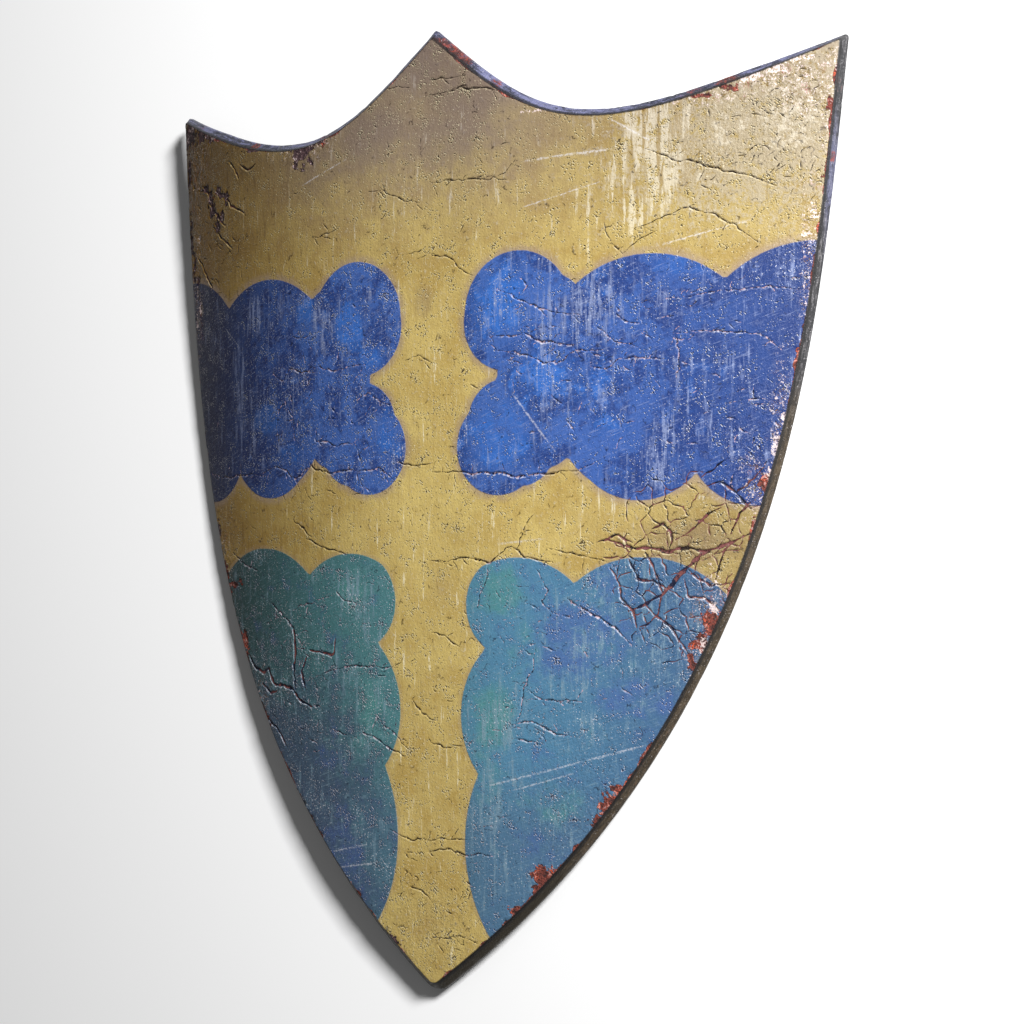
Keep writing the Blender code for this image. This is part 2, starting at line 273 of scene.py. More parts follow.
# Each crack: half its width in millimetres, then the places it runs through, across and up.
cracks = {
    "long": (
        (0.7, (0, 340), (14, 338), (32, 340)),
        (0.9, (-2, 328), (30, 330), (52, 328), (62, 325)),
        (0.7, (0, 259), (20, 258), (34, 260), (52, 257), (66, 262), (76, 270)),
        (0.8, (183, 272), (205, 264), (228, 257), (252, 252), (280, 241)),
        (0.6, (174, 213), (205, 223), (216, 228), (226, 224), (250, 214), (270, 198)),
        (0.7, (0, 202), (14, 200), (26, 190), (38, 184)),
        (0.7, (60, 173), (84, 161), (108, 152), (130, 150)),
        (0.8, (58, 136), (84, 137), (106, 129), (126, 127)),
        (0.7, (60, 125), (88, 122), (98, 115), (112, 112), (122, 121), (150, 123)),
        (0.7, (140, 110), (152, 108), (163, 116), (198, 115)),
        (0.6, (160, 150), (168, 143), (178, 142)),
        (0.6, (145, 140), (158, 129), (172, 127)),
        (0.6, (204, 134), (222, 134), (240, 135), (268, 133), (284, 121)),
        (0.6, (200, 160), (232, 163), (262, 168), (300, 164)),
        (0.6, (206, 132), (209, 116), (206, 100)),
        (0.6, (190, 210), (165, 196), (150, 214)),
        (0.9, (0, 31), (48, 30), (76, 27), (104, 29), (128, 32), (142, 37)),
        (0.8, (0, -39), (34, -37), (52, -39), (62, -34), (73, -27), (84, -36), (108, -38)),
        (0.7, (78, -28), (84, -12), (92, -2)),
        (0.6, (106, -28), (128, -31), (156, -38)),
        (0.9, (121, -66), (140, -77), (158, -87), (172, -100)),
        (0.6, (52, -40), (49, -58), (44, -72)),
        (0.7, (99, -50), (104, -60), (99, -68), (108, -77)),
        (0.7, (82, -134), (98, -142), (112, -145), (132, -144)),
        (0.7, (94, -104), (91, -120), (84, -134), (79, -160)),
        (0.7, (74, -164), (90, -160), (104, -167), (124, -171)),
        (0.8, (74, -175), (88, -175), (98, -179)),
        (0.7, (0, -96), (12, -98), (26, -106)),
        (0.7, (0, -184), (14, -186), (28, -184)),
        (0.8, (-2, -261), (16, -259), (32, -257)),
        (0.9, (-4, -270), (18, -266), (34, -268), (56, -268)),
        (0.6, (0, -338), (22, -335), (44, -336)),
        (0.7, (-72, 346), (-56, 347), (-42, 337), (-22, 336)),
        (0.7, (-62, 257), (-48, 255), (-30, 249), (-12, 244)),
        (0.7, (-24, 204), (-10, 206), (2, 203)),
        (0.7, (-124, 225), (-110, 226), (-98, 229)),
        (0.7, (-176, 114), (-164, 108), (-156, 117), (-148, 118), (-140, 114), (-120, 117),
         (-104, 113), (-94, 116), (-66, 118)),
        (0.6, (-150, 144), (-126, 143)),
        (0.6, (-40, 84), (-52, 89), (-62, 94), (-78, 88)),
        (0.6, (-148, 58), (-150, 76), (-160, 92), (-168, 84), (-172, 70), (-168, 54)),
        (0.8, (-192, 30), (-176, 36), (-158, 34), (-148, 25), (-140, 28), (-128, 36), (-108, 30),
         (-90, 32), (-76, 32), (-64, 34), (-52, 35), (-38, 25)),
        (0.7, (-122, 70), (-122, 56), (-100, 54), (-80, 54)),
        (0.6, (-78, 54), (-70, 40)),
        (0.7, (-272, 30), (-240, 27), (-214, 29), (-190, 28)),
        (0.6, (-26, 120), (-14, 123), (0, 117)),
        (0.7, (-34, 39), (-20, 38), (0, 38)),
        (0.8, (-150, -8), (-140, -15), (-128, -22)),
        (0.8, (-182, -78), (-160, -90), (-150, -98), (-140, -112)),
        (0.7, (-134, -24), (-110, -30), (-88, -36)),
        (0.8, (-100, -66), (-90, -73), (-76, -76)),
        (0.7, (-150, -84), (-128, -76), (-104, -70)),
        (0.8, (-134, -142), (-120, -138), (-110, -132), (-86, -129), (-60, -126), (-34, -125)),
        (0.7, (-70, -180), (-56, -184), (-28, -196)),
        (0.6, (-106, -180), (-84, -182)),
        (0.7, (-42, -256), (-30, -260), (-18, -263), (0, -260)),
        (0.6, (-56, -166), (-40, -176), (-24, -190)),
        (0.7, (-20, -150), (-10, -160), (4, -166)),
        (0.6, (-22, -300), (-10, -304), (0, -310)),
        (0.8, (-236, -38), (-222, -46), (-200, -52)),
    ),
    "lifted": (
        (2.2, (262, -15), (248, -22), (232, -28), (221, -36), (212, -44), (206, -53), (197, -62),
         (184, -68), (170, -74)),
        (2.0, (152, -20), (166, -25), (184, -26), (200, -29), (214, -25), (232, -29)),
        (1.4, (201, -28), (203, -18), (196, -8), (188, -12)),
        (1.3, (206, -20), (216, -14), (228, -3), (240, 4)),
        (1.3, (172, -22), (160, -18), (146, -22)),
        (1.2, (183, -30), (190, -44), (196, -60)),
        (1.2, (155, -42), (163, -52), (164, -64), (172, -74), (176, -86)),
        (1.2, (170, -35), (176, -50), (190, -52), (200, -57)),
        (1.1, (184, -70), (196, -80), (205, -88), (214, -102), (218, -108)),
        (1.1, (216, -42), (222, -50), (232, -54), (246, -52)),
        (1.1, (213, -50), (216, -62), (228, -62), (238, -72)),
        (1.1, (236, -50), (243, -30), (248, -22)),
        (1.2, (262, 8), (254, 0), (248, -14)),
        (1.2, (272, 34), (262, 24), (252, 14), (240, 24), (230, 20)),
        (1.1, (252, 14), (262, 4), (270, 6)),
        (1.0, (226, 27), (236, 33), (244, 40)),
        (1.1, (196, -62), (192, -76), (178, -86), (182, -96)),
        (1.4, (-288, 284), (-278, 276), (-274, 268), (-264, 276), (-256, 272), (-243, 268),
         (-238, 262), (-226, 258), (-218, 254)),
        (1.3, (-278, 270), (-266, 258), (-256, 250), (-248, 246)),
        (1.3, (-268, 246), (-258, 240), (-248, 232), (-238, 226)),
        (1.5, (-298, 222), (-288, 212), (-278, 202), (-271, 194)),
        (1.2, (-240, 300), (-232, 292), (-226, 284)),
        (1.1, (-224, 296), (-212, 291), (-200, 294)),
        (2.0, (-212, -124), (-202, -136), (-190, -139), (-182, -134), (-176, -146), (-162, -149),
         (-150, -150), (-142, -158), (-128, -163)),
        (1.8, (-150, -98), (-147, -116), (-150, -130), (-148, -150)),
        (1.5, (-136, -148), (-140, -134), (-134, -122)),
        (1.5, (-130, -116), (-120, -118), (-102, -117), (-100, -106)),
        (1.4, (-192, -148), (-180, -156), (-170, -152)),
        (1.3, (-188, -176), (-172, -184), (-160, -198)),
    ),
    "step": 1.6 * mm,
    "depth": 0.6 * mm,
    "waves": ((13 * mm, 1.0), (3.6 * mm, 0.7)),          # how a line sways: length, and share
    # The share of the listed half width, the sway, how far a width is pinched, how strongly the lips
    # are lifted, and the lips' height and fall.
    "thin": {"share": 0.75, "sway": 1.5 * mm, "pinch": 0.2, "lift": 1.0,
             "lip": 0.06 * mm, "fall": 0.5 * mm},
    "wide": {"share": 0.8, "sway": 1.2 * mm, "pinch": 0.35, "lift": 1.5,
             "lip": 0.18 * mm, "fall": 1.8 * mm},
    "short": {"sway": 0.9 * mm, "pinch": 0.1, "margin": 1.2 * mm},
}

# Patches of random short cracks: how many, the patch's middle and half its spread, shortest and
# longest, half width (all in millimetres), and how far they turn from level in degrees.
sprinkles = (
    (60, (270, 292), (48, 50), (3, 10), 0.40, 45),
    (30, (304, 220), (14, 60), (3, 8), 0.40, 60),
    (35, (264, 45), (22, 42), (4, 12), 0.50, 90),
    (50, (0, 0), (60, 360), (3, 8), 0.34, 40),
    (80, (0, 60), (300, 300), (3, 10), 0.34, 40),
    (50, (-262, 250), (56, 75), (4, 12), 0.45, 50),
    (40, (-165, -145), (48, 55), (4, 12), 0.45, 60),
    (40, (-115, 70), (75, 60), (4, 12), 0.38, 50),
    (40, (160, 120), (90, 65), (4, 12), 0.38, 50),
    (30, (110, -110), (60, 70), (4, 12), 0.38, 50),
    (25, (0, -310), (40, 40), (3, 8), 0.40, 50),
)
twigs = {"every": 6, "share": 0.5, "length": (3, 12), "half": 0.34, "lean": 60}

# The crazed patch low on the right: its middle, its reach, and the plates' size, in millimetres.
crazing = {"middle": (212, -38), "reach": (60, 82), "plate": 13.5, "jitter": 0.45, "keep": 0.85,
           "half": 0.5, "sway": 1.7 * mm, "pinch": 0.25}

# How a crack shapes the paint beside it.
lips = {
    "reach": 1.6 * mm,                  # how far out a crack counts, and how many falls more
    "falls": 2.5,
    "slant": 0.6,                       # the lip is lower above and right of a line so steep
    "upperShare": 0.55,
    "least": 0.05 * mm,                 # added to each half width
    "full": 0.5 * mm,                   # half width of a crack of strength 1
    "strongest": 1.8,
    "deepest": 1.1,
    "wall": (1.1, 0.35),                # top and foot of a groove's wall, in half widths
    "rise": (-0.1 * mm, 0.4 * mm),      # of the lip, from the wall outwards
    "crest": 0.5 * mm,
    # The light's direction and the edge's tone give each crack's edges a painted highlight and painted shade.
    "light": (0.6, 0.8),
    "edge": (0.4, 0.5),                 # middle and reach of the edge's tone, in millimetres
}


def headings(line):
    # Unit directions along a line.
    steps = np.gradient(line, axis=0)
    return steps / (np.linalg.norm(steps, axis=1)[:, None] + 1e-12)


def leftOf(directions):
    return np.stack((-directions[:, 1], directions[:, 0]), axis=1)


def wander(places, sway, rng):
    # Walks a line in even steps and pushes each step sideways by angular random waves, one long
    # and one short, which fade out at both ends.
    line, at = evenly(np.array(places, float), cracks["step"])
    push = 0.0
    for wavelength, share in cracks["waves"]:
        knots = rng.uniform(-1, 1, int(at[-1] / wavelength) + 3)
        push = push + share * np.interp(at / wavelength, np.arange(len(knots)), knots)
    push *= sway * np.minimum(1.0, 5 * np.minimum(at, at[-1] - at) / (at[-1] + 1e-12))
    return line + push[:, None] * leftOf(headings(line))


def pinched(count, half, low, rng):
    # Half widths along a crack: full in the middle, nothing at the ends, pinched at random.
    taper = np.sin(np.linspace(0.15, math.pi - 0.15, count))**0.5
    knots = rng.uniform(low, 1.25, count // 2 + 3)
    return half * mm * taper * np.interp(np.arange(count) / 2, np.arange(len(knots)), knots)


def shortCrack(middle, heading, length, half, lean, rng):
    # A jagged, slightly bent line of random length and heading, and its half widths.
    sizes = cracks["short"]
    along = np.linspace(-0.5, 0.5, 8)
    heading = heading + math.radians(rng.normal(0, lean)) + 0.4 * rng.normal() * along
    stride = np.stack((np.cos(heading), np.sin(heading)), axis=1) / len(along)
    places = middle + np.cumsum(stride, axis=0) * rng.uniform(*length) * mm
    line = wander(places, sizes["sway"], rng)
    return line, pinched(len(line), half, sizes["pinch"], rng), 1.0


def plateEdges(rng):
    # Borders between the plates of the crazed patch. Each plate has a jittered seed, and a border
    # joins the centres of the circles through two neighbouring triangles of seeds.
    size, (x, y), (reachX, reachY) = crazing["plate"], crazing["middle"], crazing["reach"]
    columns, rows = (np.arange(-reach - 2 * size, reach + 2 * size, size)
                     for reach in (reachX, reachY))
    seeds = np.stack(np.meshgrid(x + columns, y + rows), axis=-1).reshape(-1, 2)
    seeds += crazing["jitter"] * size * rng.uniform(-1, 1, seeds.shape)
    seeds, _, triangles = delaunay_2d_cdt([Vector(p) for p in seeds], [], [], 0, 1e-6)[:3]
    seeds, triangles = np.array(seeds), np.array(triangles)
    a, b, c = (seeds[triangles[:, k]] for k in range(3))
    cross = 2 * ((b - a)[:, 0] * (c - a)[:, 1] - (b - a)[:, 1] * (c - a)[:, 0])
    bb, cc = ((b - a)**2).sum(axis=1), ((c - a)**2).sum(axis=1)
    centres = a + np.stack(((c - a)[:, 1] * bb - (b - a)[:, 1] * cc,
                            (b - a)[:, 0] * cc - (c - a)[:, 0] * bb), axis=1) / cross[:, None]
    sides = np.concatenate([triangles[:, pair] for pair in ((0, 1), (1, 2), (2, 0))])
    sides = np.sort(sides, axis=1)
    owners = np.tile(np.arange(len(triangles)), 3)
    order = np.lexsort((sides[:, 1], sides[:, 0]))
    same = np.all(sides[order[1:]] == sides[order[:-1]], axis=1)
    pairs = np.stack((owners[order[:-1]][same], owners[order[1:]][same]), axis=1)
    for start, end in centres[pairs]:
        offset = ((start + end) / 2 - (x, y)) / (reachX, reachY)
        if np.hypot(*offset) < rng.uniform(0.7, 1.0) and rng.random() < crazing["keep"]:
            yield np.array((start, end)) * mm


def placedCrack(row, sizes, rng):
    # A crack from one row of the lists, as its line, its half widths and its lips' lift.
    half, *places = row
    line = wander(np.array(places) * mm, sizes["sway"], rng)
    widths = pinched(len(line), sizes["share"] * half, sizes["pinch"], rng)
    return line, widths, sizes["lift"]


def allCracks():
    # Every crack as its line, its half widths and how strongly its lips are lifted: first the
    # thin ones, with twigs, then the wide ones.
    rng = np.random.default_rng(7)
    thin, wide = [], []
    shape = twigs["length"], twigs["half"], twigs["lean"]
    for row in cracks["long"]:
        thin.append(placedCrack(row, cracks["thin"], rng))
        line = thin[-1][0]
        for k in range(0, len(line) - 1, twigs["every"]):
            if rng.random() < twigs["share"]:
                heading = math.atan2(*(line[k + 1] - line[k])[::-1])
                thin.append(shortCrack(line[k], heading, *shape, rng))
    for count, middle, spread, *shape in sprinkles:
        for _ in range(count):
            place = (np.array(middle) + np.array(spread) * rng.uniform(-1, 1, 2)) * mm
            crack = shortCrack(place, 0.0, *shape, rng)
            if distanceIn(crack[0]).min() > cracks["short"]["margin"]:
                thin.append(crack)
    for ends in plateEdges(rng):
        line = wander(ends, crazing["sway"], rng)
        wide.append((line, pinched(len(line), crazing["half"], crazing["pinch"], rng), 1.0))
    wide += [placedCrack(row, cracks["wide"], rng) for row in cracks["lifted"]]
    return thin, wide


def crackRelief(places, made, sizes):
    # For each place: how deep a groove and how high a lip the cracks give it, how far it is inside
    # the nearest groove, from 1 on its line through 0 at its wall down to -1 well outside, and the
    # painted highlight and shade of its edge: painted highlight (above 0) below and left of a groove
    # and painted shade above and right of it.
    # A lip rises to its crest just outside the wall and then dies away over the fall.
    depth, lip, inside = np.zeros(len(places)), np.zeros(len(places)), np.full(len(places), -1.0)
    # tone holds the edges' painted highlight (above 0) and painted shade (below 0).
    tone = np.zeros(len(places))
    order = np.argsort(places[:, 0])
    sortedAcross = places[order, 0]
    reach = lips["reach"] + lips["falls"] * sizes["fall"]
    litShadeMiddle, litShadeReach = lips["edge"]
    for line, half, lift in made:
        low, high = line.min(axis=0) - reach, line.max(axis=0) + reach
        near = order[np.searchsorted(sortedAcross, low[0]):np.searchsorted(sortedAcross, high[0])]
        near = near[(places[near, 1] > low[1]) & (places[near, 1] < high[1])]
        if len(near) == 0:
            continue
        start, step = line[:-1], np.diff(line, axis=0)
        offset = places[near, None] - start[None]
        share = np.clip((offset * step).sum(axis=2) / (step**2).sum(axis=1), 0, 1)
        aside = offset - share[..., None] * step
        gap = np.linalg.norm(aside, axis=2)
        nearest = gap.argmin(axis=1)
        rows = np.arange(len(near))
        gap, share, aside = gap[rows, nearest], share[rows, nearest], aside[rows, nearest]
        above = aside[:, 1] + lips["slant"] * aside[:, 0] > 0
        upper = np.where(above, lips["upperShare"], 1.0)
        width = half[nearest] * (1 - share) + half[nearest + 1] * share + lips["least"]
        strength = np.minimum(width / lips["full"], lips["strongest"])
        groove = cracks["depth"] * np.minimum(strength, lips["deepest"])
        depth[near] = np.maximum(depth[near], groove * smooth(*lips["wall"], gap / width))
        beyond = gap - width
        crest = smooth(*lips["rise"], beyond)
        crest *= np.exp(-np.maximum(beyond - lips["crest"], 0) / sizes["fall"])
        lip[near] = np.maximum(lip[near], sizes["lip"] * lift * strength * upper * crest)
        inside[near] = np.maximum(inside[near], np.clip(1 - gap / width, -1, 1))
        side = -(aside @ lips["light"]) / (gap + 1e-9)
        edge = side * strength * np.exp(-((beyond / mm - litShadeMiddle) / litShadeReach)**2)
        tone[near] = np.where(np.abs(edge) > np.abs(tone[near]), edge, tone[near])
    return depth, lip, inside, tone


def crackRows(made):
    # Points along each crack: its line, and rows beside it at the groove's wall, the lip's crest
    # and the lip's foot.
    rows = []
    for side, extra in ((0, 0), (1, 0), (-1, 0), (1, 0.5), (-1, 0.5), (1, 1.4), (-1, 1.4)):
        for line, half, _ in made:
            out = side * (np.maximum(half, 0.3 * mm) + extra * mm)
            rows.append(line + leftOf(headings(line)) * out[:, None])
    return np.concatenate(rows)


# Chips, crumbs and tones

# Each chip: middle across and up, reach across and up, all in millimetres.
chips = {
    "rusty": (
        (243, 315, 11, 4), (224, 309, 6, 2), (320, 301, 3, 7), (314, 254, 3, 7),
        (309, 187, 3, 5), (299, 118, 3, 5), (235, -84, 8, 12), (227, -98, 7, 9), (218, -112, 4, 7),
        (155, -222, 9, 8), (143, -236, 6, 6), (163, -208, 6, 4), (105, -281, 11, 8), (95, -291, 5, 4),
        (-249, -58, 7, 15), (-236, -66, 10, 5), (-219, -117, 8, 9),
        (-189, -182, 8, 10), (-114, 303, 6, 4), (274, 20, 4, 8), (265, -8, 3, 6), (78, -309, 6, 4),
    ),
    "bare": (
        (-310, 340, 22, 15), (-292, 331, 16, 8), (-274, 325, 10, 3), (-137, 297, 13, 13),
        (-158, 303, 14, 3), (-122, 303, 12, 4), (-284, 281, 5, 4), (-275, 272, 4, 7),
        (-270, 262, 4, 6), (-262, 277, 7, 3), (-250, 272, 8, 3), (-246, 265, 3, 5),
        (-252, 254, 4, 5), (-261, 247, 4, 8), (-313, 240, 4, 15), (-306, 215, 4, 8),
        (-39, -345, 8, 4), (-317, 296, 3, 10), (-202, 306, 16, 2), (-262, -20, 4, 12),
        (-300, 204, 5, 5),
    ),
    "flake": (
        (309, 219, 4, 7), (303, 205, 6, 2), (288, 72, 3, 5), (281, 50, 3, 7), (296, 334, 10, 2),
        (262, 322, 12, 3), (278, 327, 10, 3), (92, 307, 14, 1.5), (227, -98, 3, 6), (235, -70, 3, 4),
        (324, 330, 2, 9), (278, 30, 4, 7), (-296, 240, 3, 5), (-300, 190, 2, 5), (-292, 176, 3, 5),
        (-300, 166, 2, 6),
    ),
    "seeds": {"rusty": 21, "bare": 31, "flake": 41},
    "depth": 0.5 * mm,
    "wall": (-0.02, 0.16),              # where a chip starts to sink, and where it has sunk
    "curl": 0.2 * mm,
    "curlWidth": 0.09,
    "ragged": ((0.6, 7 * mm), (0.5, 2.4 * mm)),         # heights and lengths of its edge's waves
    "fray": {"most": 1.1, "reach": 1.5 * mm, "height": 1.5, "wavelength": 14 * mm, "cut": 1.25,
             "seed": 51},
}

# Places where the paint is rough and crumbly, as the chips above.
crumbs = {
    "places": (
        (270, 322, 60, 8), (235, 308, 35, 4), (320, 285, 6, 60), (300, 315, 20, 16),
        (306, 190, 6, 45), (286, 55, 8, 42), (266, 15, 9, 20), (-300, 300, 16, 40),
        (-300, 190, 8, 60), (-255, -60, 14, 40), (-195, -175, 12, 30), (-140, 301, 34, 8),
        (234, -72, 12, 28), (220, -106, 8, 16),
    ),
    "height": 0.34 * mm,
    "wavelength": 4.2 * mm,
    "seed": 91,
}

# Soft tones in the paint: middle across and up, reach across and up, and strength.
tones = {
    "bright": (
        (66, 160, 30, 34, 0.8), (62, 60, 30, 34, 0.8), (100, 108, 30, 20, 0.6), (212, 186, 26, 15, 0.8),
        (142, 96, 22, 18, 0.4), (-182, 76, 20, 14, 1.0),
        (-135, 162, 12, 14, 0.8), (-84, 150, 16, 20, 0.9), (-60, 122, 14, 12, 0.7),
        (-45, 60, 14, 20, 0.7), (70, 175, 18, 14, 0.6),
        (160, 60, 24, 16, 0.6), (-150, 45, 24, 12, 0.5), (45, 60, 14, 20, 0.6), (230, 100, 24, 18, 0.3),
    ),
    "worn": (
        (104, 148, 9, 34, 0.9), (138, 152, 14, 30, 0.9), (195, 50, 10, 34, 0.7), (118, 150, 40, 14, 0.5),
        (-225, 105, 10, 52, 0.7), (-198, 165, 9, 18, 0.8), (-165, 168, 5, 14, 0.7), (-116, 150, 12, 20, 0.6),
        (255, 130, 18, 24, 0.3), (60, -165, 20, 18, 0.8), (52, -225, 10, 30, 0.7),
        (180, -60, 22, 26, 0.5), (190, -95, 14, 14, 0.7), (120, -130, 24, 14, 0.5), (150, 150, 30, 20, 0.4),
        (-112, 258, 8, 24, 0.6), (-135, 290, 10, 20, 0.3), (-70, -70, 18, 26, 0.6), (-95, -130, 16, 20, 0.4),
        (-75, -60, 30, 12, 0.4), (30, 120, 8, 30, 0.4), (100, -200, 30, 16, 0.3), (75, -30, 40, 6, 0.5),
    ),
    "cream": (
        (182, 288, 16, 38, 1.0), (166, 262, 14, 26, 0.5), (196, 258, 16, 36, 1.0), (208, 296, 9, 30, 0.7),
        (150, 300, 10, 20, 0.3), (290, 292, 26, 30, 0.7), (240, 284, 14, 24, 0.5), (180, 226, 20, 20, 0.7),
        (225, 236, 16, 24, 0.4), (255, 300, 20, 20, 0.5), (140, 235, 16, 20, 0.4), (230, 10, 20, 14, 0.3),
        (150, 5, 20, 8, 0.4),
    ),
    "smoke": (
        (-20, 355, 40, 30, 1.0), (40, 330, 50, 34, 0.9), (-60, 300, 44, 30, 1.0), (110, 292, 60, 14, 0.3),
        (20, 290, 60, 26, 0.9), (-120, 285, 40, 34, 0.8), (60, 262, 30, 14, 0.4), (-30, 262, 24, 12, 0.5),
        (215, -22, 44, 18, 0.8), (176, -20, 24, 8, 0.5), (-8, 165, 10, 14, 0.7),
        (-20, 60, 10, 30, 0.3), (10, -60, 12, 20, 0.3), (0, -330, 20, 20, 0.3),
    ),
    "green": (
        (62, -62, 26, 22, 0.8), (56, -160, 20, 30, 0.8), (52, -205, 16, 30, 0.5), (80, -110, 20, 30, 0.4),
        (-75, -60, 30, 26, 0.4), (-60, -165, 20, 40, 0.3), (-120, -50, 30, 20, 0.3), (110, -220, 40, 20, 0.4),
    ),
    "indigo": (
        (132, -95, 40, 34, 0.9), (150, -55, 14, 20, 0.8), (172, -138, 32, 16, 0.7), (-85, -270, 26, 34, 0.5),
        (150, -35, 18, 8, 0.6), (100, -262, 30, 24, 0.4), (-100, -200, 20, 24, 0.4), (190, -20, 30, 20, 0.3),
    ),
    "rough": (
        (265, 290, 70, 50, 0.7), (300, 200, 26, 70, 0.6), (268, 50, 40, 50, 0.8), (215, -40, 50, 60, 0.5),
        (-262, 250, 56, 75, 0.8), (-165, -145, 50, 60, 0.8), (-250, -30, 30, 70, 0.8), (0, -330, 40, 40, 0.7),
        (130, -220, 40, 50, 0.6), (-110, 70, 80, 60, 0.3), (160, 120, 80, 60, 0.3),
    ),
}


def toneField(places, rows):
    # Strongest of the soft round tones at each place: its strength inside half its reach, fading
    # to nothing at one and a half times its reach.
    found = np.zeros(len(places))
    for x, y, reachX, reachY, strength in rows:
        away = np.hypot(*((places / mm - (x, y)) / (reachX, reachY)).T)
        found = np.maximum(found, strength * smooth(1.5, 0.4, away))
    return found


def chipField(places, rows, seed):
    # How far inside a ragged chip: 1 at its middle, 0 at its edge, below 0 outside. The ragged
    # edge comes from noise of two wavelengths.
    field = np.full(len(places), -1.0)
    for x, y, reachX, reachY in rows:
        field = np.maximum(field, 1.0 - np.hypot(*((places / mm - (x, y)) / (reachX, reachY)).T))
    (high, longWave), (low, shortWave) = chips["ragged"]
    ragged = (high * valueNoise(places, longWave, seed, 2)
              + low * valueNoise(places, shortWave, seed + 1, 2) - 0.1)
    return np.clip(field + np.where(field > -0.8, ragged, 0), -1, 1)


def allChips(places):
    # The three kinds of chip. The face's very edge has lost its paint too, here and there: what
    # is left after a fall of 1 over the fray's reach, random waves and a cut.
    found = {kind: chipField(places, chips[kind], seed) for kind, seed in chips["seeds"].items()}
    fray = chips["fray"]
    waves = fray["height"] * valueNoise(places, fray["wavelength"], fray["seed"], 3)
    frayed = fray["most"] - distanceIn(places) / fray["reach"] + waves - fray["cut"]
    found["rusty"] = np.maximum(found["rusty"], np.clip(frayed, -1, 1))
    return found


def crumbField(places):
    return smooth(-0.3, 0.5, chipField(places, crumbs["places"], crumbs["seed"]))


# Meshes

def latticePoints(spacing, margin):
    # Rows of points in a honeycomb over the face, kept where they lie well inside its edge.
    columns = np.arange(-board["halfWidth"], board["halfWidth"], spacing)
    rows = np.arange(-board["pointDrop"], board["peakRise"], spacing * math.sqrt(0.75))
    grid = np.stack(np.meshgrid(columns, rows), axis=-1)
    grid[1::2, :, 0] += spacing / 2
    grid = grid.reshape(-1, 2)
    return grid[distanceIn(grid) > margin]


def thinned(points, spacing):
    # Keeps the first point that falls in each square of a fine lattice.
    cells = np.floor(points / spacing).astype(np.int64)
    _, first = np.unique(cells[:, 0] * 100003 + cells[:, 1], return_index=True)
    return points[np.sort(first)]


def fill(loop, inner):
    # Triangles over everything inside a closed loop, through all the inner points.
    corners = [Vector(place) for place in np.concatenate((loop, inner)).tolist()]
    edges = [(i, (i + 1) % len(loop)) for i in range(len(loop))]
    places, _, faces = delaunay_2d_cdt(corners, edges, [], 1, 1e-9)[:3]
    if len(places) != len(corners):
        raise ValueError("the fill moved or added points")
    return np.array(faces)


def band(first, second, count):
    # Quads between two clockwise loops of so many points, the first one above the second.
    here = np.arange(count)
    ahead = (here + 1) % count
    return np.stack((first + here, first + ahead, second + ahead, second + here), axis=1)


def makePiece(name, places, faceLists, attributes, material):
    # A mesh of one material whose smooth shading breaks at sharp edges, with its named fields.
    mesh = bpy.data.meshes.new(name)
    faces = [face for faces in faceLists for face in faces.tolist()]
    mesh.from_pydata(places, [], faces)
    for key, values in attributes.items():
        kind, socket = ("FLOAT_VECTOR", "vector") if values.ndim == 2 else ("FLOAT", "value")
        layer = mesh.attributes.new(key, kind, "POINT")
        layer.data.foreach_set(socket, values.astype(np.float32).ravel())
    mesh.materials.append(material)
    mesh.shade_smooth()
    mesh.set_sharp_from_angle(angle=math.radians(60))
    mesh.update()
    piece = bpy.data.objects.new(name, mesh)
    bpy.context.scene.collection.objects.link(piece)
    print(name, len(mesh.vertices), "points", sum(len(f) - 2 for f in faces), "triangles")
    return piece


# A set of points is given by its spacing and by how far inside the edge it starts.
coat = {
    "level": -0.42 * mm,            # of the sound paint, so that no lip stands past the board
    "highest": 0.40 * mm,           # of its relief
    "under": -1.30 * mm,
    "coarse": (3.8 * mm, 1.2 * mm),
    "shift": 0.37 * mm,             # of the coarse points, so that no two points agree
    "fine": (1.2 * mm, 0.8 * mm),   # near chips and crumbs
    "underside": (12 * mm, 3 * mm),
    "nearChip": 0.3,
    "nearCrumb": 0.35,
    "inset": 0.90 * mm,
    "closest": 0.40 * mm,
    "edgeSink": 0.20 * mm,
    "waves": 0.16 * mm,
    "waveLength": 46 * mm,
    # Strength of the painted highlight and shade at a wide crack's edges.
    "wideLitShade": 0.65,               # of a wide crack's edges, next to a thin one's
}


def coatRelief(places, thin, wide):
    # Height of the paint over its level: gentle waves, lips and grooves of the cracks, plates that
    # curl up towards the wide cracks, crumbly places, and chips sunk to the steel with a curled edge.
    depth, lip, groove, edge = crackRelief(places, thin, cracks["thin"])
    riftDepth, riftLip, rift, riftLitShade = crackRelief(places, wide, cracks["wide"])
    # The edge fields are the cracks' painted highlight and shade, the wide cracks' made weaker.
    edge = np.where(np.abs(riftLitShade) > np.abs(edge), coat["wideLitShade"] * riftLitShade, edge)
    found = allChips(places)
    chip = np.maximum(np.maximum(found["rusty"], found["bare"]), found["flake"] - 0.1)
    sunk = smooth(*chips["wall"], chip)
    curl = np.exp(-((chip + chips["curlWidth"]) / chips["curlWidth"])**2)
    crumb = crumbField(places)
    ridges = 1 - 2 * np.abs(valueNoise(places, crumbs["wavelength"], 5, 2))
    relief = coat["waves"] * valueNoise(places, coat["waveLength"], 3, 3)
    relief += np.maximum(lip, riftLip) * (1 - sunk) + chips["curl"] * curl
    relief += crumbs["height"] * crumb * ridges * (1 - 0.5 * sunk)
    relief -= np.maximum(np.maximum(depth, riftDepth), chips["depth"] * sunk)
    # The lip field holds that painted highlight and shade, not the lips' height.
    fields = {"groove": groove, "rift": rift, "lip": np.clip(edge, -1, 1), "crumb": crumb}
    return np.minimum(relief, coat["highest"]), {**fields, **found}


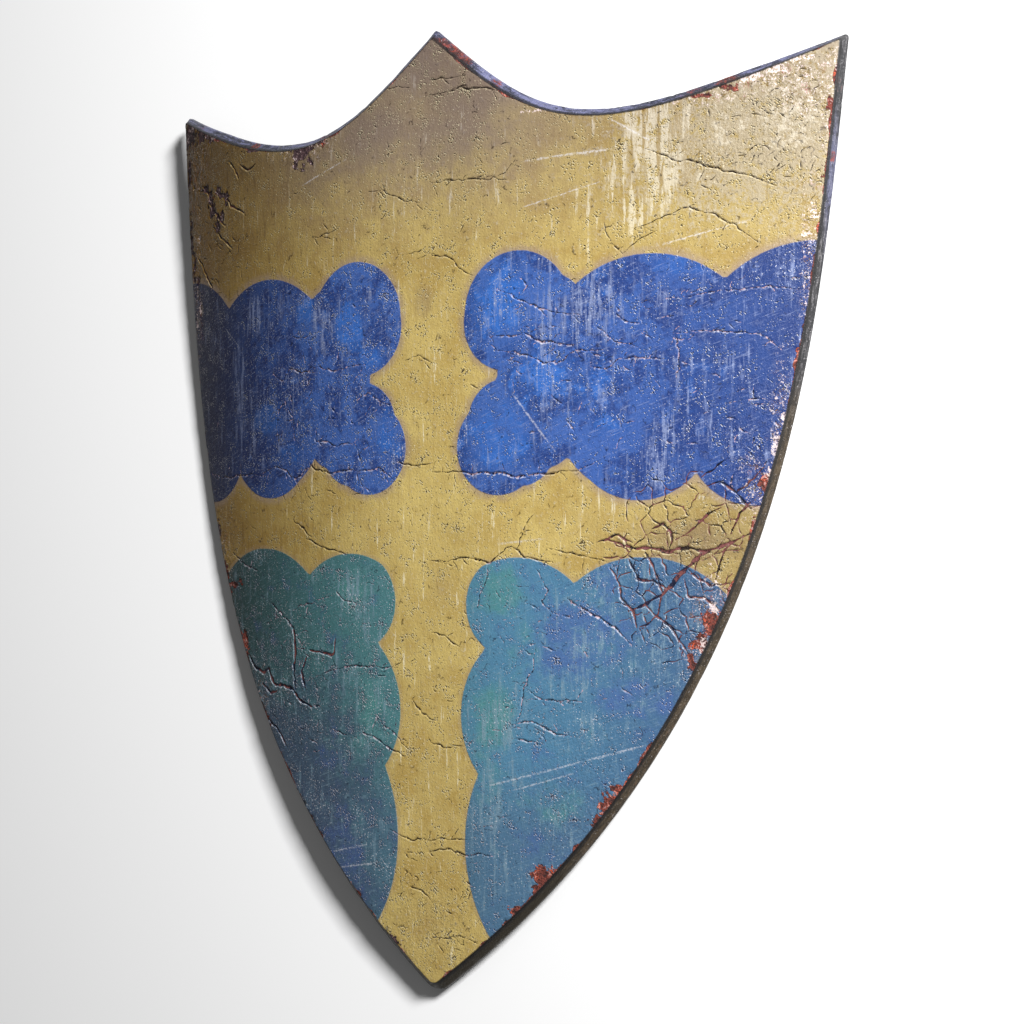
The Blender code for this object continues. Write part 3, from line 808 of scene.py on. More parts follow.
def coatPoints(allMade):
    # Points inside the face: rows along the cracks, fine ones where chips and crumbs are, half as
    # many on a chip's floor, and coarse ones over all of it.
    fine = latticePoints(*coat["fine"])
    chip = np.max(list(allChips(fine).values()), axis=0)
    detailed = (np.abs(chip) < coat["nearChip"]) | (crumbField(fine) > coat["nearCrumb"])
    floors = fine[::2][chip[::2] > coat["nearChip"]]
    coarse = latticePoints(*coat["coarse"]) + coat["shift"]
    points = np.concatenate((crackRows(allMade), fine[detailed], floors, coarse))
    return thinned(points[distanceIn(points) > coat["inset"]], coat["closest"])


def makeCoat(material):
    # A thin closed sheet: the face with its relief, a plain underside, and a band between them.
    rim = faceOutline()
    thin, wide = allCracks()
    print("cracks", len(thin), "thin and", len(wide), "wide")
    inner = coatPoints(thin + wide)
    count = len(rim)
    places = np.concatenate((rim, inner))
    relief, fields = coatRelief(places, thin, wide)
    level = coat["level"] + relief
    level[:count] = np.minimum(level[:count], coat["level"] - coat["edgeSink"])
    topFaces = fill(rim, inner)

    underInner = latticePoints(*coat["underside"])
    underFaces = fill(rim, underInner)[:, ::-1] + len(places)
    shown = np.concatenate((places, rim, underInner))
    underCount = count + len(underInner)
    flat = np.c_[shown, np.concatenate((level, np.full(underCount, coat["under"])))]
    attributes = {"flat": np.c_[shown / mm, flat[:, 2] / mm],
                  "blue": np.clip(blueField(shown), -40, 40),
                  "teal": np.clip(tealField(shown), -40, 40),
                  "edge": np.clip(distanceIn(shown) / mm, 0, 60)}
    attributes |= {kind: toneField(shown, rows) for kind, rows in tones.items()}
    attributes |= {key: np.concatenate((values, np.full(underCount, -1.0)))
                   for key, values in fields.items()}
    return makePiece("paintedCoat", bendBoard(flat),
                     (topFaces, underFaces, band(0, len(places), count)), attributes, material)


steel = {
    "bevelSteps": 7,
    "wallSteps": 3,
    "front": (12 * mm, 3 * mm),             # its points, as the coat's
    "back": (7 * mm, 2 * mm),
    "dents": (9 * mm, 61, 3, 0.1, 0.45 * mm),       # wavelength, seed, layers, cut and depth
    "nicks": (5 * mm, 71, 2, 0.75, 2.0 * mm),
    "inset": 0.02 * mm,
    "backWaves": 0.35 * mm,
    "backWaveLength": 60 * mm,
    "backCalm": 30 * mm,                    # strip inside the edge where they begin
    "backMark": 1.2,                        # of the back, where the rim's bevel has 0 to 1
}


# Marks on the rim, as the tones above: rust, and pale patches that are painted highlights.
rimMarks = {
    "rusted": (
        (4, 366, 12, 8, 1.0), (16, 358, 12, 9, 1.0), (28, 350, 8, 7, 0.9), (56, 330, 8, 7, 0.7),
        (222, 311, 14, 8, 0.6), (246, 318, 12, 8, 0.9), (322, 262, 6, 5, 0.6),
        (326, 312, 6, 10, 0.4), (-206, 308, 7, 5, 0.9), (-112, 304, 12, 6, 0.7),
        (-60, 330, 16, 12, 0.4), (-300, 338, 8, 6, 0.5), (180, -190, 60, 60, 0.25),
    ),
    "pale": (
        (50, 333, 18, 12, 1.0), (95, 309, 34, 14, 1.0), (130, 300, 40, 14, 0.7),
        (-135, 300, 24, 8, 0.6), (322, 240, 6, 50, 0.5), (322, 180, 6, 60, 0.3),
        (-290, 334, 16, 6, 0.6), (300, 337, 16, 6, 0.4),
    ),
}


def hollows(places, wavelength, seed, layers, cut, depth):
    # Dents where random waves stand higher than the cut, as deep as they stand over it.
    return np.clip(valueNoise(places, wavelength, seed, layers) - cut, 0, None) * depth


def rimLoops():
    # Loops carried from the paint's edge down the bevel and the rim's wall to the back, each with
    # its share of the way. Dents push each loop inwards, most on the outer edge of the bevel.
    inner, outer = faceOutline(), rimOutline()
    outwards = (outer - inner) / np.linalg.norm(outer - inner, axis=1)[:, None]
    wallTop, back = board["rimWall"] - board["thickness"], -board["thickness"]
    bevel, wall = steel["bevelSteps"] + 1, steel["wallSteps"] + 1
    across = np.concatenate((np.linspace(0, 1, bevel), np.ones(wall - 1)))
    out = np.concatenate((np.linspace(coat["under"], wallTop, bevel),
                          np.linspace(wallTop, back, wall)[1:]))
    loops, kinds = [], []
    for k, (share, level) in enumerate(zip(across, out)):
        line = inner + (outer - inner) * share
        place = np.c_[line[:, 0] + 3 * level, line[:, 1] - 2 * level]
        worn = hollows(place, *steel["dents"]) + hollows(place, *steel["nicks"])
        push = worn * math.sin(math.pi * k / len(across)) + steel["inset"]
        line = line - outwards * push[:, None]
        loops.append(np.c_[line, np.full(len(line), level)])
        kinds.append(np.full(len(line), k / (len(across) - 1)))
    return loops, kinds


def alongRim():
    # How far each point of the rim's outline is from the peak, the shorter way round, in mm.
    outer = rimOutline()
    step = np.linalg.norm(np.roll(outer, -1, axis=0) - outer, axis=1)
    walked = np.concatenate(([0.0], np.cumsum(step)[:-1]))
    return np.minimum(walked, step.sum() - walked) / mm


def makeBoard(material):
    # The rim's loops, closed in front under the paint and behind by a gently waved back.
    loops, kinds = rimLoops()
    count, start = len(loops[0]), len(loops) * len(loops[0])
    frontInner, backInner = latticePoints(*steel["front"]), latticePoints(*steel["back"])
    waves = steel["backWaves"] * (1 + valueNoise(backInner, steel["backWaveLength"], 81, 3))
    waves = waves * smooth(0, steel["backCalm"], distanceIn(backInner))
    flat = np.concatenate(loops + [np.c_[frontInner, np.full(len(frontInner), coat["under"])],
                                   np.c_[backInner, waves - board["thickness"]]])
    frontFaces = fill(loops[0][:, :2], frontInner)
    frontFaces = np.where(frontFaces < count, frontFaces, frontFaces - count + start)
    backFaces = fill(loops[-1][:, :2], backInner)[:, ::-1]
    backFaces = np.where(backFaces < count, backFaces + start - count,
                         backFaces - count + start + len(frontInner))
    bands = [band(k * count, (k + 1) * count, count) for k in range(len(loops) - 1)]
    inside = [np.zeros(len(frontInner)), np.full(len(backInner), steel["backMark"])]
    hidden = np.zeros(len(frontInner) + len(backInner))
    attributes = {"flat": flat / mm, "rim": np.concatenate(kinds + inside),
                  "along": np.concatenate((np.tile(alongRim(), len(loops)), hidden))}
    attributes |= {kind: toneField(flat[:, :2], rows) for kind, rows in rimMarks.items()}
    faces = [frontFaces, backFaces] + bands
    return makePiece("steelBoard", bendBoard(flat), faces, attributes, material)


# Materials

def shade(red, green, blue):
    # Screen colour from 0 to 255, made linear as a shader needs it.
    def linear(value):
        value /= 255
        return value / 12.92 if value <= 0.04045 else ((value + 0.055) / 1.055)**2.4
    return (linear(red), linear(green), linear(blue), 1.0)


class Wire:
    # An output socket. Python's operators on it add Math nodes, and node() adds any other node.
    def __init__(self, tree, out=None):
        self.tree, self.out = tree, out

    def node(self, kind, settings=None, sockets=None, give=0):
        made = self.tree.nodes.new("ShaderNode" + kind)
        for key, value in (settings or {}).items():
            setattr(made, key, value)
        for key, value in (sockets or {}).items():
            if isinstance(value, Wire):
                self.tree.links.new(value.out, made.inputs[key])
            else:
                made.inputs[key].default_value = value
        return Wire(self.tree, made.outputs[give])

    def maths(self, operation, first, second=0.0):
        return self.node("Math", {"operation": operation}, {0: first, 1: second})

    def __add__(self, other):
        return self.maths("ADD", self, other)

    def __sub__(self, other):
        return self.maths("SUBTRACT", self, other)

    def __rsub__(self, other):
        return self.maths("SUBTRACT", other, self)

    def __mul__(self, other):
        return self.maths("MULTIPLY", self, other)

    __radd__, __rmul__ = __add__, __mul__

    def most(self, other):
        return self.maths("MAXIMUM", self, other)

    def least(self, other):
        return self.maths("MINIMUM", self, other)

    def size(self):
        return self.maths("ABSOLUTE", self)

    def rise(self, low, high):
        # 0 below low and 1 above high, smooth between; it falls instead where low is above high.
        if low > high:
            return 1 - self.rise(high, low)
        return self.node("MapRange", {"interpolation_type": "SMOOTHSTEP"},
                         {"Value": self, "From Min": low, "From Max": high})

    def mix(self, first, second, way="MIX"):
        # Colour that goes from the first to the second as this value goes from 0 to 1. With
        # MULTIPLY it goes to the product of both.
        return self.node("Mix", {"data_type": "RGBA", "blend_type": way},
                         {0: self, 6: first, 7: second}, 2)

    def vector(self, operation, other, give=0):
        return self.node("VectorMath", {"operation": operation}, {0: self, 1: other}, give)

    def stretch(self, x, y, z=1.0):
        return self.vector("MULTIPLY", (x, y, z))

    def shift(self, x, y, z=0.0):
        return self.vector("ADD", (x, y, z))

    def dot(self, x, y):
        return self.vector("DOT_PRODUCT", (x, y, 0.0), "Value")

    def axes(self, first, second):
        # The place as measured along two other axes.
        return self.node("CombineXYZ", {}, {0: self.dot(*first), 1: self.dot(*second)})

    def noise(self, wavelength, detail=3.0, roughness=0.55, kind="2D", give="Fac"):
        return self.node("TexNoise", {"noise_dimensions": kind},
                         {"Vector": self, "Scale": 1.0 / wavelength, "Detail": detail,
                          "Roughness": roughness}, give)

    def warp(self, wavelength, reach):
        # The place moved by up to half the reach each way, by noise.
        push = self.noise(wavelength, 2.0, 0.5, "2D", "Color").shift(-0.5, -0.5)
        return self.vector("ADD", push.stretch(reach, reach, 0.0))

    def edges(self, spacing):
        # Distance to the nearest border between irregular cells.
        cells = {"Vector": self, "Scale": 1.0 / spacing, "Randomness": 1.0}
        settings = {"voronoi_dimensions": "2D", "feature": "DISTANCE_TO_EDGE"}
        return self.node("TexVoronoi", settings, cells, "Distance") * spacing

    def read(self, name, give="Fac"):
        return self.node("Attribute", {"attribute_name": name}, {}, give)


def newMaterial(name):
    material = bpy.data.materials.new(name)
    material.use_nodes = True
    shader = material.node_tree.nodes["Principled BSDF"]
    return material, shader, Wire(material.node_tree)


def finishMaterial(shader, start, colour, roughness, height, sizes):
    # Joins the worked-out colour, roughness and height to the shader, the height as a bump.
    bump = start.node("Bump", {}, {"Strength": sizes["bumpStrength"],
                                   "Distance": sizes["bumpDepth"], "Height": height})
    for socket, wire in (("Base Color", colour), ("Roughness", roughness), ("Normal", bump)):
        start.tree.links.new(wire.out, shader.inputs[socket])


def layered(colour, *layers, way="MIX"):
    # Lays tones over a colour one after another, each by its own amount.
    for amount, tone in layers:
        colour = amount.mix(colour, tone, way)
    return colour


# Pale scratches in millimetres: from, to, and half width.
scratches = (
    ((82, 269), (168, 274), 0.9), ((150, 299), (190, 276), 0.7), ((80, 233), (150, 250), 0.5),
    ((195, 200), (265, 217), 0.6), ((72, 94), (114, 42), 0.8), ((50, -214), (185, -174), 0.8),
    ((72, -216), (128, -198), 0.6), ((-98, -293), (-50, -283), 0.7),
    ((-106, -281), (-64, -270), 0.6), ((-250, 158), (-224, 138), 0.5),
    ((60, -25), (104, -20), 0.8), ((-140, 268), (-84, 286), 0.5),
)

paint = {
    "gold": shade(178, 155, 92), "ochre": shade(160, 130, 60), "straw": shade(200, 178, 108),
    "cream": shade(219, 208, 174), "beige": shade(188, 175, 142), "stain": shade(112, 86, 48),
    # The left-hand colours of the gold, blue and teal are painted shade that darkens the face's left.
    "smoke": shade(122, 104, 92), "goldLeftShade": shade(164, 136, 54),
    "goldRight": shade(166, 164, 184), "goldTop": shade(158, 152, 184),
    "topTone": shade(150, 136, 124), "earTone": shade(219, 219, 227),
    "blue": shade(60, 92, 158), "blueLeftShade": shade(0, 8, 50), "blueRight": shade(28, 50, 104),
    "blueDeep": shade(34, 56, 114), "blueBright": shade(54, 106, 186),
    "blueWorn": shade(128, 140, 174),
    "tealMiddle": shade(72, 118, 122), "teal": shade(76, 122, 150), "tealLeftShade": shade(28, 48, 46),
    "tealRight": shade(54, 78, 112), "tealLow": shade(70, 92, 118), "slate": shade(60, 68, 92),
    "green": shade(74, 130, 124), "indigo": shade(66, 90, 144), "tealWorn": shade(118, 142, 156),
    "halo": shade(142, 124, 112), "dust": shade(212, 212, 218), "navy": shade(20, 24, 46),
    "crack": shade(38, 26, 20), "crackPink": shade(166, 142, 152), "floor": shade(108, 64, 62),
    "rust": shade(118, 58, 48), "rustDark": shade(62, 36, 34), "rustBright": shade(176, 76, 48),
    "bare": shade(92, 68, 70), "bareDark": shade(50, 36, 40), "palePatch": shade(208, 190, 186),
    "border": shade(32, 28, 28),
    "roughness": 0.5,
    "specular": 0.3,
    "bumpStrength": 1.0,
    "bumpDepth": 0.0011,
}

# Wavelengths of the paint's noises, in millimetres.
blots = {"cloud": 42, "patch": 13, "grain": 4.6, "fine": 1.7, "streak": 3, "drip": 5,
         "brush": 1.3, "pits": 1.2, "dashes": 3, "warp": 9, "warpReach": 14,
         "wideNet": 30, "closeNet": 9}


def paintFields(start):
    # What the paint is worked out from: the place, the mesh's own fields, and noises. Streaks and
    # drips are drawn out upwards, and brush marks at a slant.
    names = ("blue", "teal", "edge", "groove", "rift", "lip", "crumb", "rusty", "bare", "flake")
    at = SimpleNamespace(**{name: start.read(name) for name in (*names, *tones)})
    at.flat = flat = start.read("flat", "Vector")
    at.across, at.up = flat.dot(1, 0), flat.dot(0, 1)
    at.cloud = flat.shift(300, 90).noise(blots["cloud"], 4, 0.62)
    at.patch = flat.shift(-90, 200).noise(blots["patch"], 4, 0.66)
    at.grain = flat.noise(blots["grain"], 4, 0.7)
    at.fine = flat.shift(50, 20).noise(blots["fine"], 2, 0.7)
    at.streak = flat.stretch(1, 0.08).noise(blots["streak"], 4, 0.7)
    at.drip = flat.shift(80, 40).stretch(1, 0.11).noise(blots["drip"], 4, 0.66)
    at.brush = flat.axes((0.075, 0.03), (-0.36, 0.93)).noise(blots["brush"], 2, 0.6)
    at.dashes = flat.shift(9, 44).noise(blots["dashes"], 2, 0.6)
    at.mottle = at.grain * 0.5 + at.fine * 0.2 + at.patch * 0.3
    at.broad = at.cloud * 0.55 + at.patch * 0.45
    at.wobble = (at.fine - 0.5) * 2.2 + (at.grain - 0.5) * 1.6
    at.onColour = at.blue.most(at.teal).rise(-0.5, 0.5)
    at.onColumn = at.across.size().rise(60, 30)
    at.toLeft = at.across.rise(60, -60)
    # Painted shade: pale flecks, highlights and crumbs drawn at half strength at the far left, full from the
    # middle on.
    at.lit = at.across.rise(-330, 10) * 0.5 + 0.5
    # Pale fleck colour, also used for painted highlights; dark crack colour, also used for painted shade.
    at.paleTone = at.onColour.mix(paint["cream"], paint["dust"])
    at.darkTone = at.onColour.mix(paint["crack"], paint["navy"])
    return at


def goldPaint(at):
    # Gold, with its mottles, its pale runs, its left darkened as painted shade, and its darker right
    # and top. The runs are drips up to the right, and blots beyond.
    across, up, broad, cream, drip = at.across, at.up, at.broad, at.cream, at.drip
    middle = across.size().rise(160, 0) * up.size().rise(200, 0)
    upperRight = across.rise(90, 260) * up.rise(170, 270) + cream * 0.3
    flow = drip + (at.patch * 0.5 + at.grain * 0.5 - drip) * across.rise(200, 235)
    runs = (cream * 0.8 + (flow - 0.5) * 3.4).rise(0.45, 0.8) * at.mottle.rise(0.4, 0.5)
    streaky = across.rise(-60, -220) * 0.3 + 0.2
    mauve = (up + (broad - 0.5) * 160).rise(190, 320) * across.rise(190, 60)
    gold = layered(
        paint["gold"],
        (broad.rise(0.5, 0.6) * 0.45, paint["ochre"]),
        (broad.rise(0.5, 0.42) * 0.35 + middle * 0.35, paint["straw"]),
        ((upperRight * 0.9 + (at.mottle - 0.5) * 5).rise(0.3, 0.9) * 0.75, paint["beige"]),
        ((at.smoke * 0.8 + (broad - 0.5) * 1.2).rise(0.0, 1.1) * 0.6, paint["smoke"]),
        (runs * 0.85, paint["cream"]),
        (flow.rise(0.46, 0.36) * cream * 0.5, paint["ochre"]),
        (at.streak.rise(0.58, 0.7) * drip.rise(0.5, 0.62) * 0.2, paint["cream"]),
        (at.streak.rise(0.47, 0.33) * drip.rise(0.55, 0.4) * streaky, paint["stain"]),
        (mauve * across.rise(-280, -120) * 0.5, paint["topTone"]))
    lowRight = up.rise(210, 100) * 0.4 + up.rise(330, 220) * 0.3
    return layered(
        gold,
        # Painted shade: the gold darker towards the left.
        (across.rise(-20, -350), paint["goldLeftShade"]),
        (across.rise(60, 300) * lowRight, paint["goldRight"]),
        (up.rise(120, 440) * (across.rise(260, 120) * 0.3 + 0.55), paint["goldTop"]),
        (across.rise(60, 280) * up.rise(160, 340), paint["earTone"]), way="MULTIPLY")


def scuffMarks(at):
    # How far the quarters are scuffed, in streaky patches, and the dark strokes of a brush.
    scuff = (at.worn * 0.9 + (at.drip - 0.5) * 2.6 + (at.cloud - 0.5) * 1.6).rise(0.05, 0.75)
    scuffed = scuff * (at.streak * 0.6 + at.mottle * 0.4).rise(0.44, 0.56)
    scuffed = scuffed + at.mottle.rise(0.55, 0.62) * 0.2
    scuffed = scuffed + at.brush.rise(0.58, 0.7) * at.patch.rise(0.45, 0.56) * 0.5
    strokes = at.brush.rise(0.44, 0.34) * at.patch.rise(0.52, 0.4)
    return scuffed * (at.across.rise(-330, -120) * 0.6 + 0.4), strokes


def bluePaint(at, scuffed, strokes):
    # Blue, darker towards both sides; the darkening on the left is painted shade.
    return layered(
        at.broad.rise(0.56, 0.44).mix(paint["blueDeep"], paint["blue"]),
        ((at.bright * 0.9 + (at.broad - 0.5) * 4).rise(0.2, 1.0) * 0.85, paint["blueBright"]),
        # Painted shade: the blue darker towards the left.
        (at.across.rise(-80, -290), paint["blueLeftShade"]),
        (at.across.rise(90, 330) * 0.95, paint["blueRight"]),
        (strokes * 0.35, paint["navy"]),
        ((scuffed * 0.7).least(1.0), paint["blueWorn"]))


def tealPaint(at, scuffed, strokes):
    # Teal: painted shade on the left, bluer on the right and low down, green and indigo patches.
    across, up, broad = at.across, at.up, at.broad
    drift = (broad - 0.5) * 200
    return layered(
        across.rise(-30, 70).mix(paint["tealMiddle"], paint["teal"]),
        # Painted shade: the teal darker towards the left.
        (across.rise(-20, -280), paint["tealLeftShade"]),
        (across.rise(50, 250) * 0.9, paint["tealRight"]),
        (up.rise(-180, -260) * 0.6, paint["tealLow"]),
        ((across + drift).rise(-20, -110) * (up + drift).rise(-100, -190) * 0.7, paint["slate"]),
        (strokes * 0.3, paint["navy"]),
        ((at.green + (broad - 0.5) * 2.4).rise(0.2, 1.0) * 0.7, paint["green"]),
        ((at.indigo - (broad - 0.5) * 3.4).rise(0.1, 1.1) * 0.7, paint["indigo"]),
        ((scuffed * 0.65).least(1.0), paint["tealWorn"]))


def crossPaint(at):
    # The gold cross between its quarters, with a brown halo along their edges.
    scuffed, strokes = scuffMarks(at)
    halo = (at.blue + at.wobble).rise(-8, -0.5).most((at.teal + at.wobble).rise(-5, -0.5) * 0.5)
    return layered(
        goldPaint(at),
        (halo * at.patch.rise(0.35, 0.5) * 0.6, paint["halo"]),
        ((at.blue + at.wobble * 0.35).rise(-0.6, 0.6), bluePaint(at, scuffed, strokes)),
        ((at.teal + at.wobble * 0.35).rise(-0.6, 0.6), tealPaint(at, scuffed, strokes)))


def scratchMarks(at):
    # Strongest of the scratches: each near its wavering line, fading out over 8 mm at its ends.
    found = None
    waver = (at.grain - 0.5) * 2.4
    for (x, y), (endX, endY), half in scratches:
        length = math.hypot(endX - x, endY - y)
        alongX, alongY = (endX - x) / length, (endY - y) / length
        fromStart = at.flat.shift(-x, -y)
        aside = (fromStart.dot(-alongY, alongX) + waver).size().rise(half * 1.5, half * 0.2)
        fromMid = (fromStart.dot(alongX, alongY) - length / 2).size()
        mark = aside * fromMid.rise(length / 2, length / 2 - 8)
        found = mark if found is None else found.most(mark)
    return found * at.fine.rise(0.3, 0.55) * at.patch.rise(0.34, 0.54) * 0.45


def pitMarks(at):
    # Pits in clusters, and a painted highlight on the lower left edge of each: the same pits, moved.
    crowd = (at.patch - 0.5) * 0.9 - at.rough * 0.015 - at.onColumn * 0.015
    crowd = crowd + at.onColour * (0.025 - at.toLeft * 0.035)
    slant = at.flat.axes((0.5, -0.4), (0.64, 0.77))
    pits = (slant.noise(blots["pits"], 2, 0.6) + crowd).rise(0.29, 0.245)
    moved = (slant.shift(0, 0.6).noise(blots["pits"], 2, 0.6) + crowd).rise(0.27, 0.23)
    return pits, moved - pits


def speckled(colour, at, pits, pitHighlight):
    # The pits with a painted highlight at the lower left of each, pale flecks, and the finest net of
    # cracks, broken into dashes.
    crowd = (at.cloud - 0.5) * 0.3 + at.rough * 0.03 + at.onColumn * 0.03
    flecks = (at.fine + crowd + at.onColour * (at.toLeft * 0.03 + 0.02)).rise(0.74, 0.8)
    warped = at.flat.warp(blots["warp"], blots["warpReach"])
    wide = warped.edges(blots["wideNet"]).rise(0.8, 0.3) * at.patch.rise(0.54, 0.62)
    close = warped.shift(7, 3).edges(blots["closeNet"]).rise(0.7, 0.25)
    close = close * at.rough * at.grain.rise(0.5, 0.6)
    level = (at.patch - 0.5).size().rise(0.012, 0.004) * at.rough * at.grain.rise(0.5, 0.42)
    net = (wide.most(close) * at.dashes.rise(0.42, 0.54)).most(level)
    return layered(
        colour,
        # Pale flecks and the pits' painted highlights, both painted dimmer towards the left as shade.
        (flecks.most(pitHighlight) * at.lit * 0.75, at.paleTone),
        (pits * 0.85, at.darkTone),
        (net * 0.7, at.darkTone))


def cracked(colour, at):
    # Cracks: a painted highlight on the edge below, painted shade on the edge above, and a dark, pink
    # or red-brown floor.
    dots = at.dashes * 0.6 + at.fine * 0.4
    crackHighlight = at.lip.rise(0.15, 0.9) * dots.rise(0.44, 0.54) * at.lit
    inGroove = (at.groove + (at.fine - 0.5) * 0.8).rise(-0.05, 0.3) * dots.rise(0.38, 0.48)
    crackTone = (at.onColour * at.dashes.rise(0.52, 0.58)).mix(at.darkTone, paint["crackPink"])
    inRift = (at.rift + (at.fine - 0.5) * 0.5).rise(-0.02, 0.2)
    floor = (at.patch.rise(0.44, 0.54) * at.rift.rise(0.15, 0.4)).mix(at.darkTone, paint["floor"])
    return layered(
        colour,
        # Painted highlight on the edge below each crack, painted shade on the edge above.
        (crackHighlight * (at.onColour * 0.15 + 0.45), at.paleTone),
        ((at.lip * -1).rise(0.2, 1.0) * 0.6, at.darkTone),
        (inGroove, crackTone),
        (inRift, floor))


def chipped(colour, at):
    # Crumbly places, whose pale bits are painted dimmer towards the left as shade, chips down to rust
    # or bare steel, flakes left standing on them, and the dark line where the paint ends.
    fine, grain, crumb, mottle = at.fine, at.grain, at.crumb, at.mottle
    bits = fine * 0.6 + grain * 0.4
    ragged = (fine - 0.5) * 0.9
    flakes = (at.flake + (fine - 0.5) * 2.4).rise(0.0, 0.3) * bits.rise(0.43, 0.5)
    rustTone = layered(
        grain.rise(0.4, 0.56).mix(paint["rustDark"], paint["rust"]),
        (at.patch.rise(0.5, 0.6) * fine.rise(0.45, 0.58), paint["rustBright"]),
        (mottle.rise(0.55, 0.59) * 0.35, paint["palePatch"]))
    bareTone = layered(
        grain.rise(0.38, 0.62).mix(paint["bareDark"], paint["bare"]),
        (mottle.rise(0.55, 0.6) * 0.6, paint["palePatch"]))
    return layered(
        colour,
        (crumb * bits.rise(0.56, 0.6) * at.lit * 0.9, paint["palePatch"]),
        (crumb * bits.rise(0.44, 0.4) * 0.8, paint["stain"]),
        (crumb * at.broad.rise(0.54, 0.6) * fine.rise(0.5, 0.6) * 0.8, paint["rust"]),
        ((at.rusty + ragged).rise(-0.03, 0.08), rustTone),
        ((at.bare + ragged).rise(-0.03, 0.08), bareTone),
        (flakes * 0.85, paint["palePatch"]),
        ((at.edge + at.wobble * 0.4).rise(1.0, 0.2) * 0.85, paint["border"]))


def paintMaterial():
    material, shader, start = newMaterial("crackedPaint")
    at = paintFields(start)
    pits, pitHighlight = pitMarks(at)
    colour = scratchMarks(at).mix(crossPaint(at), paint["dust"])
    colour = chipped(cracked(speckled(colour, at, pits, pitHighlight), at), at)
    stripped = at.rusty.most(at.bare).rise(-0.05, 0.1)
    roughness = paint["roughness"] + (at.grain - 0.5) * 0.4 + stripped * 0.3
    height = (at.grain * 0.6 + at.fine * 0.5) * (0.4 + at.rough * 0.4 + stripped)
    height = height + at.streak * 0.1 + at.brush * at.onColour * 0.2 - pits
    shader.inputs["Specular IOR Level"].default_value = paint["specular"]
    finishMaterial(shader, start, colour, roughness, height, paint)
    return material


# Colours of the steel: rust and its dust, and the rim's painted reflections in slate, lilac, grey, brown and
# olive.
rust = {
    "slate": shade(44, 46, 60), "lilac": shade(104, 106, 138), "grey": shade(38, 38, 40),
    "greyPale": shade(92, 90, 92), "brown": shade(44, 36, 25), "brownPale": shade(78, 66, 50),
    "olive": shade(42, 37, 27), "orange": shade(122, 48, 32), "deep": shade(66, 34, 28),
    "dark": shade(18, 17, 18), "back": shade(66, 64, 66), "dust": shade(176, 172, 174),
    "cloud": 30, "grain": 4, "fine": 1.3, "backSpots": 70,     # wavelengths of its noises, in mm
    "roughness": 0.5,
    "metallic": 0.25,
    "bumpStrength": 0.8,
    "bumpDepth": 0.0008,
}


def steelMaterial():
    # Painted reflections: along the top the rim is slate blue, as of a sky, down the sides grey, then
    # brown, and almost black at the point, as of the ground, the brown partly rust too. Streaks and
    # rust follow the rim.
    material, shader, start = newMaterial("wornSteel")
    flat, rim, along = start.read("flat", "Vector"), start.read("rim"), start.read("along")
    rusted, pale = start.read("rusted"), start.read("pale")
    across, up = flat.dot(1, 0), flat.dot(0, 1)
    cloud = flat.noise(rust["cloud"], 3, 0.6, "3D")
    grain = flat.noise(rust["grain"], 3, 0.65, "3D")
    fine = flat.noise(rust["fine"], 2, 0.6, "3D")
    backSpots = flat.noise(rust["backSpots"], 4, 0.7, "3D")
    track = start.node("CombineXYZ", {}, {0: along * 0.1, 1: rim * 7, 2: across * 0.02})
    run = track.noise(1.0, 4, 0.65, "3D")
    mixed = run * 0.6 + grain * 0.25 + fine * 0.15
    drifted = up + (cloud - 0.5) * 60
    # Painted reflections: slate and lilac along the top, grey down the sides, brown low down.
    top = mixed.rise(0.46, 0.6).mix(rust["slate"], rust["lilac"])
    side = mixed.rise(0.46, 0.62).mix(rust["grey"], rust["greyPale"])
    low = mixed.rise(0.42, 0.6).mix(rust["brown"], rust["brownPale"])
    reddish = grain.rise(0.46, 0.62).mix(rust["deep"], rust["orange"])
    backTone = cloud.rise(0.3, 0.7).mix(rust["back"], rust["brown"])
    backTone = (backSpots.rise(0.6, 0.72) * 0.7).mix(backTone, rust["orange"])
    colour = layered(
        side,
        (drifted.rise(120, 40), low),
        ((along + (grain - 0.5) * 8).rise(362, 350), top),
        (drifted.rise(-230, -320), rust["olive"]),
        # Painted highlights: pale lilac patches on the rim.
        (pale * mixed.rise(0.38, 0.5) * 0.9, rust["lilac"]),
        ((rusted + (mixed - 0.5) * 3).rise(0.45, 0.8) * 0.9, reddish),
        (rim.rise(1.0, 1.05), backTone),
        (fine.rise(0.64, 0.7) * rim.rise(1.0, 0.9) * up.rise(-320, -200) * 0.5, rust["dust"]),
        ((rim + (grain - 0.5) * 0.1).rise(0.3, 0.14) * 0.9, rust["dark"]))
    roughness = rust["roughness"] + (grain - 0.5) * 0.4
    height = grain * 0.6 + fine * 0.5 + run * 0.4
    shader.inputs["Metallic"].default_value = rust["metallic"]
    finishMaterial(shader, start, colour, roughness, height, rust)
    return material


# Floor, light and camera

studio = {
    "floor": shade(240, 240, 240),
    "floorHalf": 8,
    "floorRoughness": 0.9,
    "world": 0.12,
    "key": {"place": (2.15, 1.3, 1.5), "size": 0.6, "power": 190},
}

view = {
    "distance": 1.5807,                 # from the crown line
    "turn": math.radians(34.725),       # round to the right of the face
    "rise": 0.024,                      # above the middle of the face
    "yaw": math.radians(-2.296),
    "pitch": math.radians(-0.892),
    "roll": math.radians(-0.05),
    "lens": 70.3125,
    "sensor": 36.0,
    "nearest": 0.05,
}


